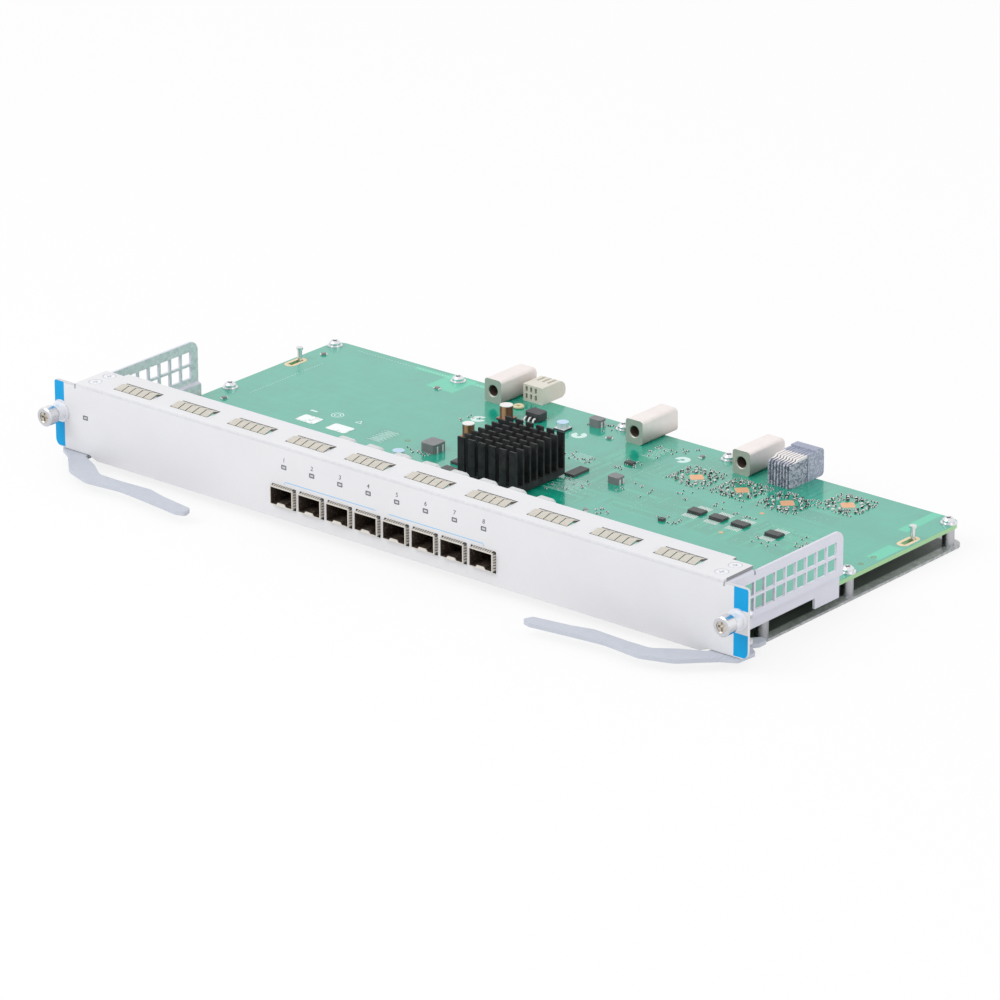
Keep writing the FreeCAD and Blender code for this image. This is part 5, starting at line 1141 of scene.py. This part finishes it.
# Parts that would stand in a larger piece of the card are left out
def clearOfNodes(spots, turns):
    kept = np.ones(len(spots), bool)
    for name in ("capacitor_cans", "flat_chips", "small_outline_chips", "power_inductors",
                 "pulse_transformer", "chip_capacitors"):
        mesh = frame["nodes"][name].data
        points = np.empty(len(mesh.vertices) * 3)
        mesh.vertices.foreach_get("co", points)
        points = points.reshape(-1, 3)[:, :2] / mm - (0, faceY / mm)
        kept &= np.abs(spots[:, None, :] - points[None]).max(-1).min(1) > chip["clear"]
    for name in ("heat_sink", "processor", "guide_block_1", "guide_block_2", "guide_block_3",
                 "signal_wafers", "signal_housing", "power_connector"):
        low, high = (corner[:2] for corner in boxOf(name))
        kept &= ((spots < low - chip["clearBox"]) | (spots > high + chip["clearBox"])).any(1)
    return spots[kept], turns[kept]


# Two copies of an end for each part: their places, out from its middle on both sides, and their turns
def endsOf(places, turns, reach):
    out = np.column_stack([np.cos(turns), np.sin(turns), np.zeros(len(turns))]) * reach
    return np.concatenate([places + out, places - out]), np.concatenate([turns, turns])


spots, turns = clearOfNodes(*partSpots())
places = np.column_stack([spots, np.full(len(spots), boardTop)])
piece("part_bodies", spread(block(*chip["body"]), places, turns), "black")
caps = endsOf(places, turns, chip["body"][0] * chip["capPlace"])
piece("part_caps", spread(block(*chip["cap"]), *caps), "tin")
print("board parts:", len(spots))

# Single chips that stand alone, on a bright foot at each end
lone = {
    "body": (2.3, 1.7, 1.0, 0.15, 0.2),
    "foot": (0.7, 1.9, 0.5, 0.12, 0.1),
    "footPlace": 1.45,
    "turn": 0.4,                                   # each next one is turned this much more
    "places": ((-104, 157), (-1, 157), (-175.5, 158), (-172, 84), (46.5, 165), (80, 93.5), (47, 80.5)),
}
places = np.array(onBoard(lone["places"]))
turns = np.arange(len(places)) * lone["turn"]
piece("small_chips", spread(block(*lone["body"]), places, turns), "greyChip")
feet = endsOf(places, turns, lone["footPlace"])
piece("small_chip_feet", spread(block(*lone["foot"]), *feet), "tin")

# Combs of tinned pads before and behind each small-outline chip
combs = {
    "chips": (86.5, 98.5, 110.7, 129.3),
    "middle": 110.3,
    "pitch": 0.92,
    "count": 8,
    "pad": (0.42, 3.9),
    "setback": 5.3,
}
across = (np.arange(combs["count"]) - (combs["count"] - 1) / 2) * combs["pitch"]
padSpots = [(x + step, combs["middle"] + side * combs["setback"])
            for x in combs["chips"] for step in across for side in (-1, 1)]
piece("chip_pads", spread(tile(*combs["pad"], 0.1, 2, 2 * film), onBoard(padSpots)), "tin")

terminals = {
    # place, width, depth and height of each power inductor
    "inductors": ((-53.3, 94.4, 8.2, 8.6, 4.4), (-15.6, 166.4, 6.8, 5.0, 3.8), (36, 115.8, 6.4, 5.4, 3.4)),
    "width": 1.1,
    "thick": 0.12,
    "foot": 1.2,
    "rise": 0.75,                                  # share of the inductor's height
    "apart": 0.22,                                 # from its middle, as a share of its depth
    "gap": 0.01,
}


# Two straps up each inductor's right side: an angle in X and Z, bent in under the part, drawn along Y
def inductorStraps():
    forms = []
    for x, y, width, depth, height in terminals["inductors"]:
        side, foot = x + width / 2, x + width / 2 - terminals["foot"]
        outer, inner = side + terminals["thick"], side + terminals["gap"]
        top, sole = boardTop + terminals["rise"] * height, boardTop + terminals["thick"]
        angle = np.array([(foot, boardTop), (outer, boardTop), (outer, top), (inner, top), (inner, sole),
                          (foot, sole)])
        for place in (-terminals["apart"], terminals["apart"]):
            near = y + place * depth - terminals["width"] / 2
            rings = [np.column_stack([angle[:, 0], np.full(len(angle), edge), angle[:, 1]])
                     for edge in (near, near + terminals["width"])]
            forms.append(loft(np.array(rings)))
    return joined(forms)


piece("inductor_straps", inductorStraps(), "tin")

# Bent leads over the pulse transformer's front
leads = {
    "first": -45.18,
    "pitch": 2.58,
    "count": 3,
    "place": 150.7,
    "reach": (1.5, 2.0),
    "wire": 0.45,
    "steps": 11,
    "sides": 8,
}


# An arch of round wire over half an ellipse in Y and Z: each ring lies across the ellipse's own turn
def wireArch():
    turn = np.linspace(0, math.pi, leads["steps"])
    around = np.linspace(0, 2 * math.pi, leads["sides"], endpoint=False)
    flat = np.zeros(len(turn))
    out = np.column_stack([flat, -np.cos(turn), np.sin(turn)])
    middle = out * (0, *leads["reach"])
    across = np.cos(around)[None, :, None] * (1.0, 0, 0) + np.sin(around)[None, :, None] * out[:, None]
    return loft(middle[:, None] + leads["wire"] * across)


archSpots = [(leads["first"] + k * leads["pitch"], leads["place"]) for k in range(leads["count"])]
piece("transformer_leads", spread(wireArch(), onBoard(archSpots)), "tin")

# Small cream coil beside the power connector: a circle of wire, turned about Z into a ring on the board
coil = {
    "place": (-58.5, 161.5),
    "radius": 1.9,
    "wire": 0.75,
}
wire = arc(coil["wire"], 0, 324, 10) + (coil["radius"], coil["wire"])
piece("small_coil", spread(turned(wire, 20, closed=True), onBoard([coil["place"]])), "coil")
print("terminals, leads and coil made")
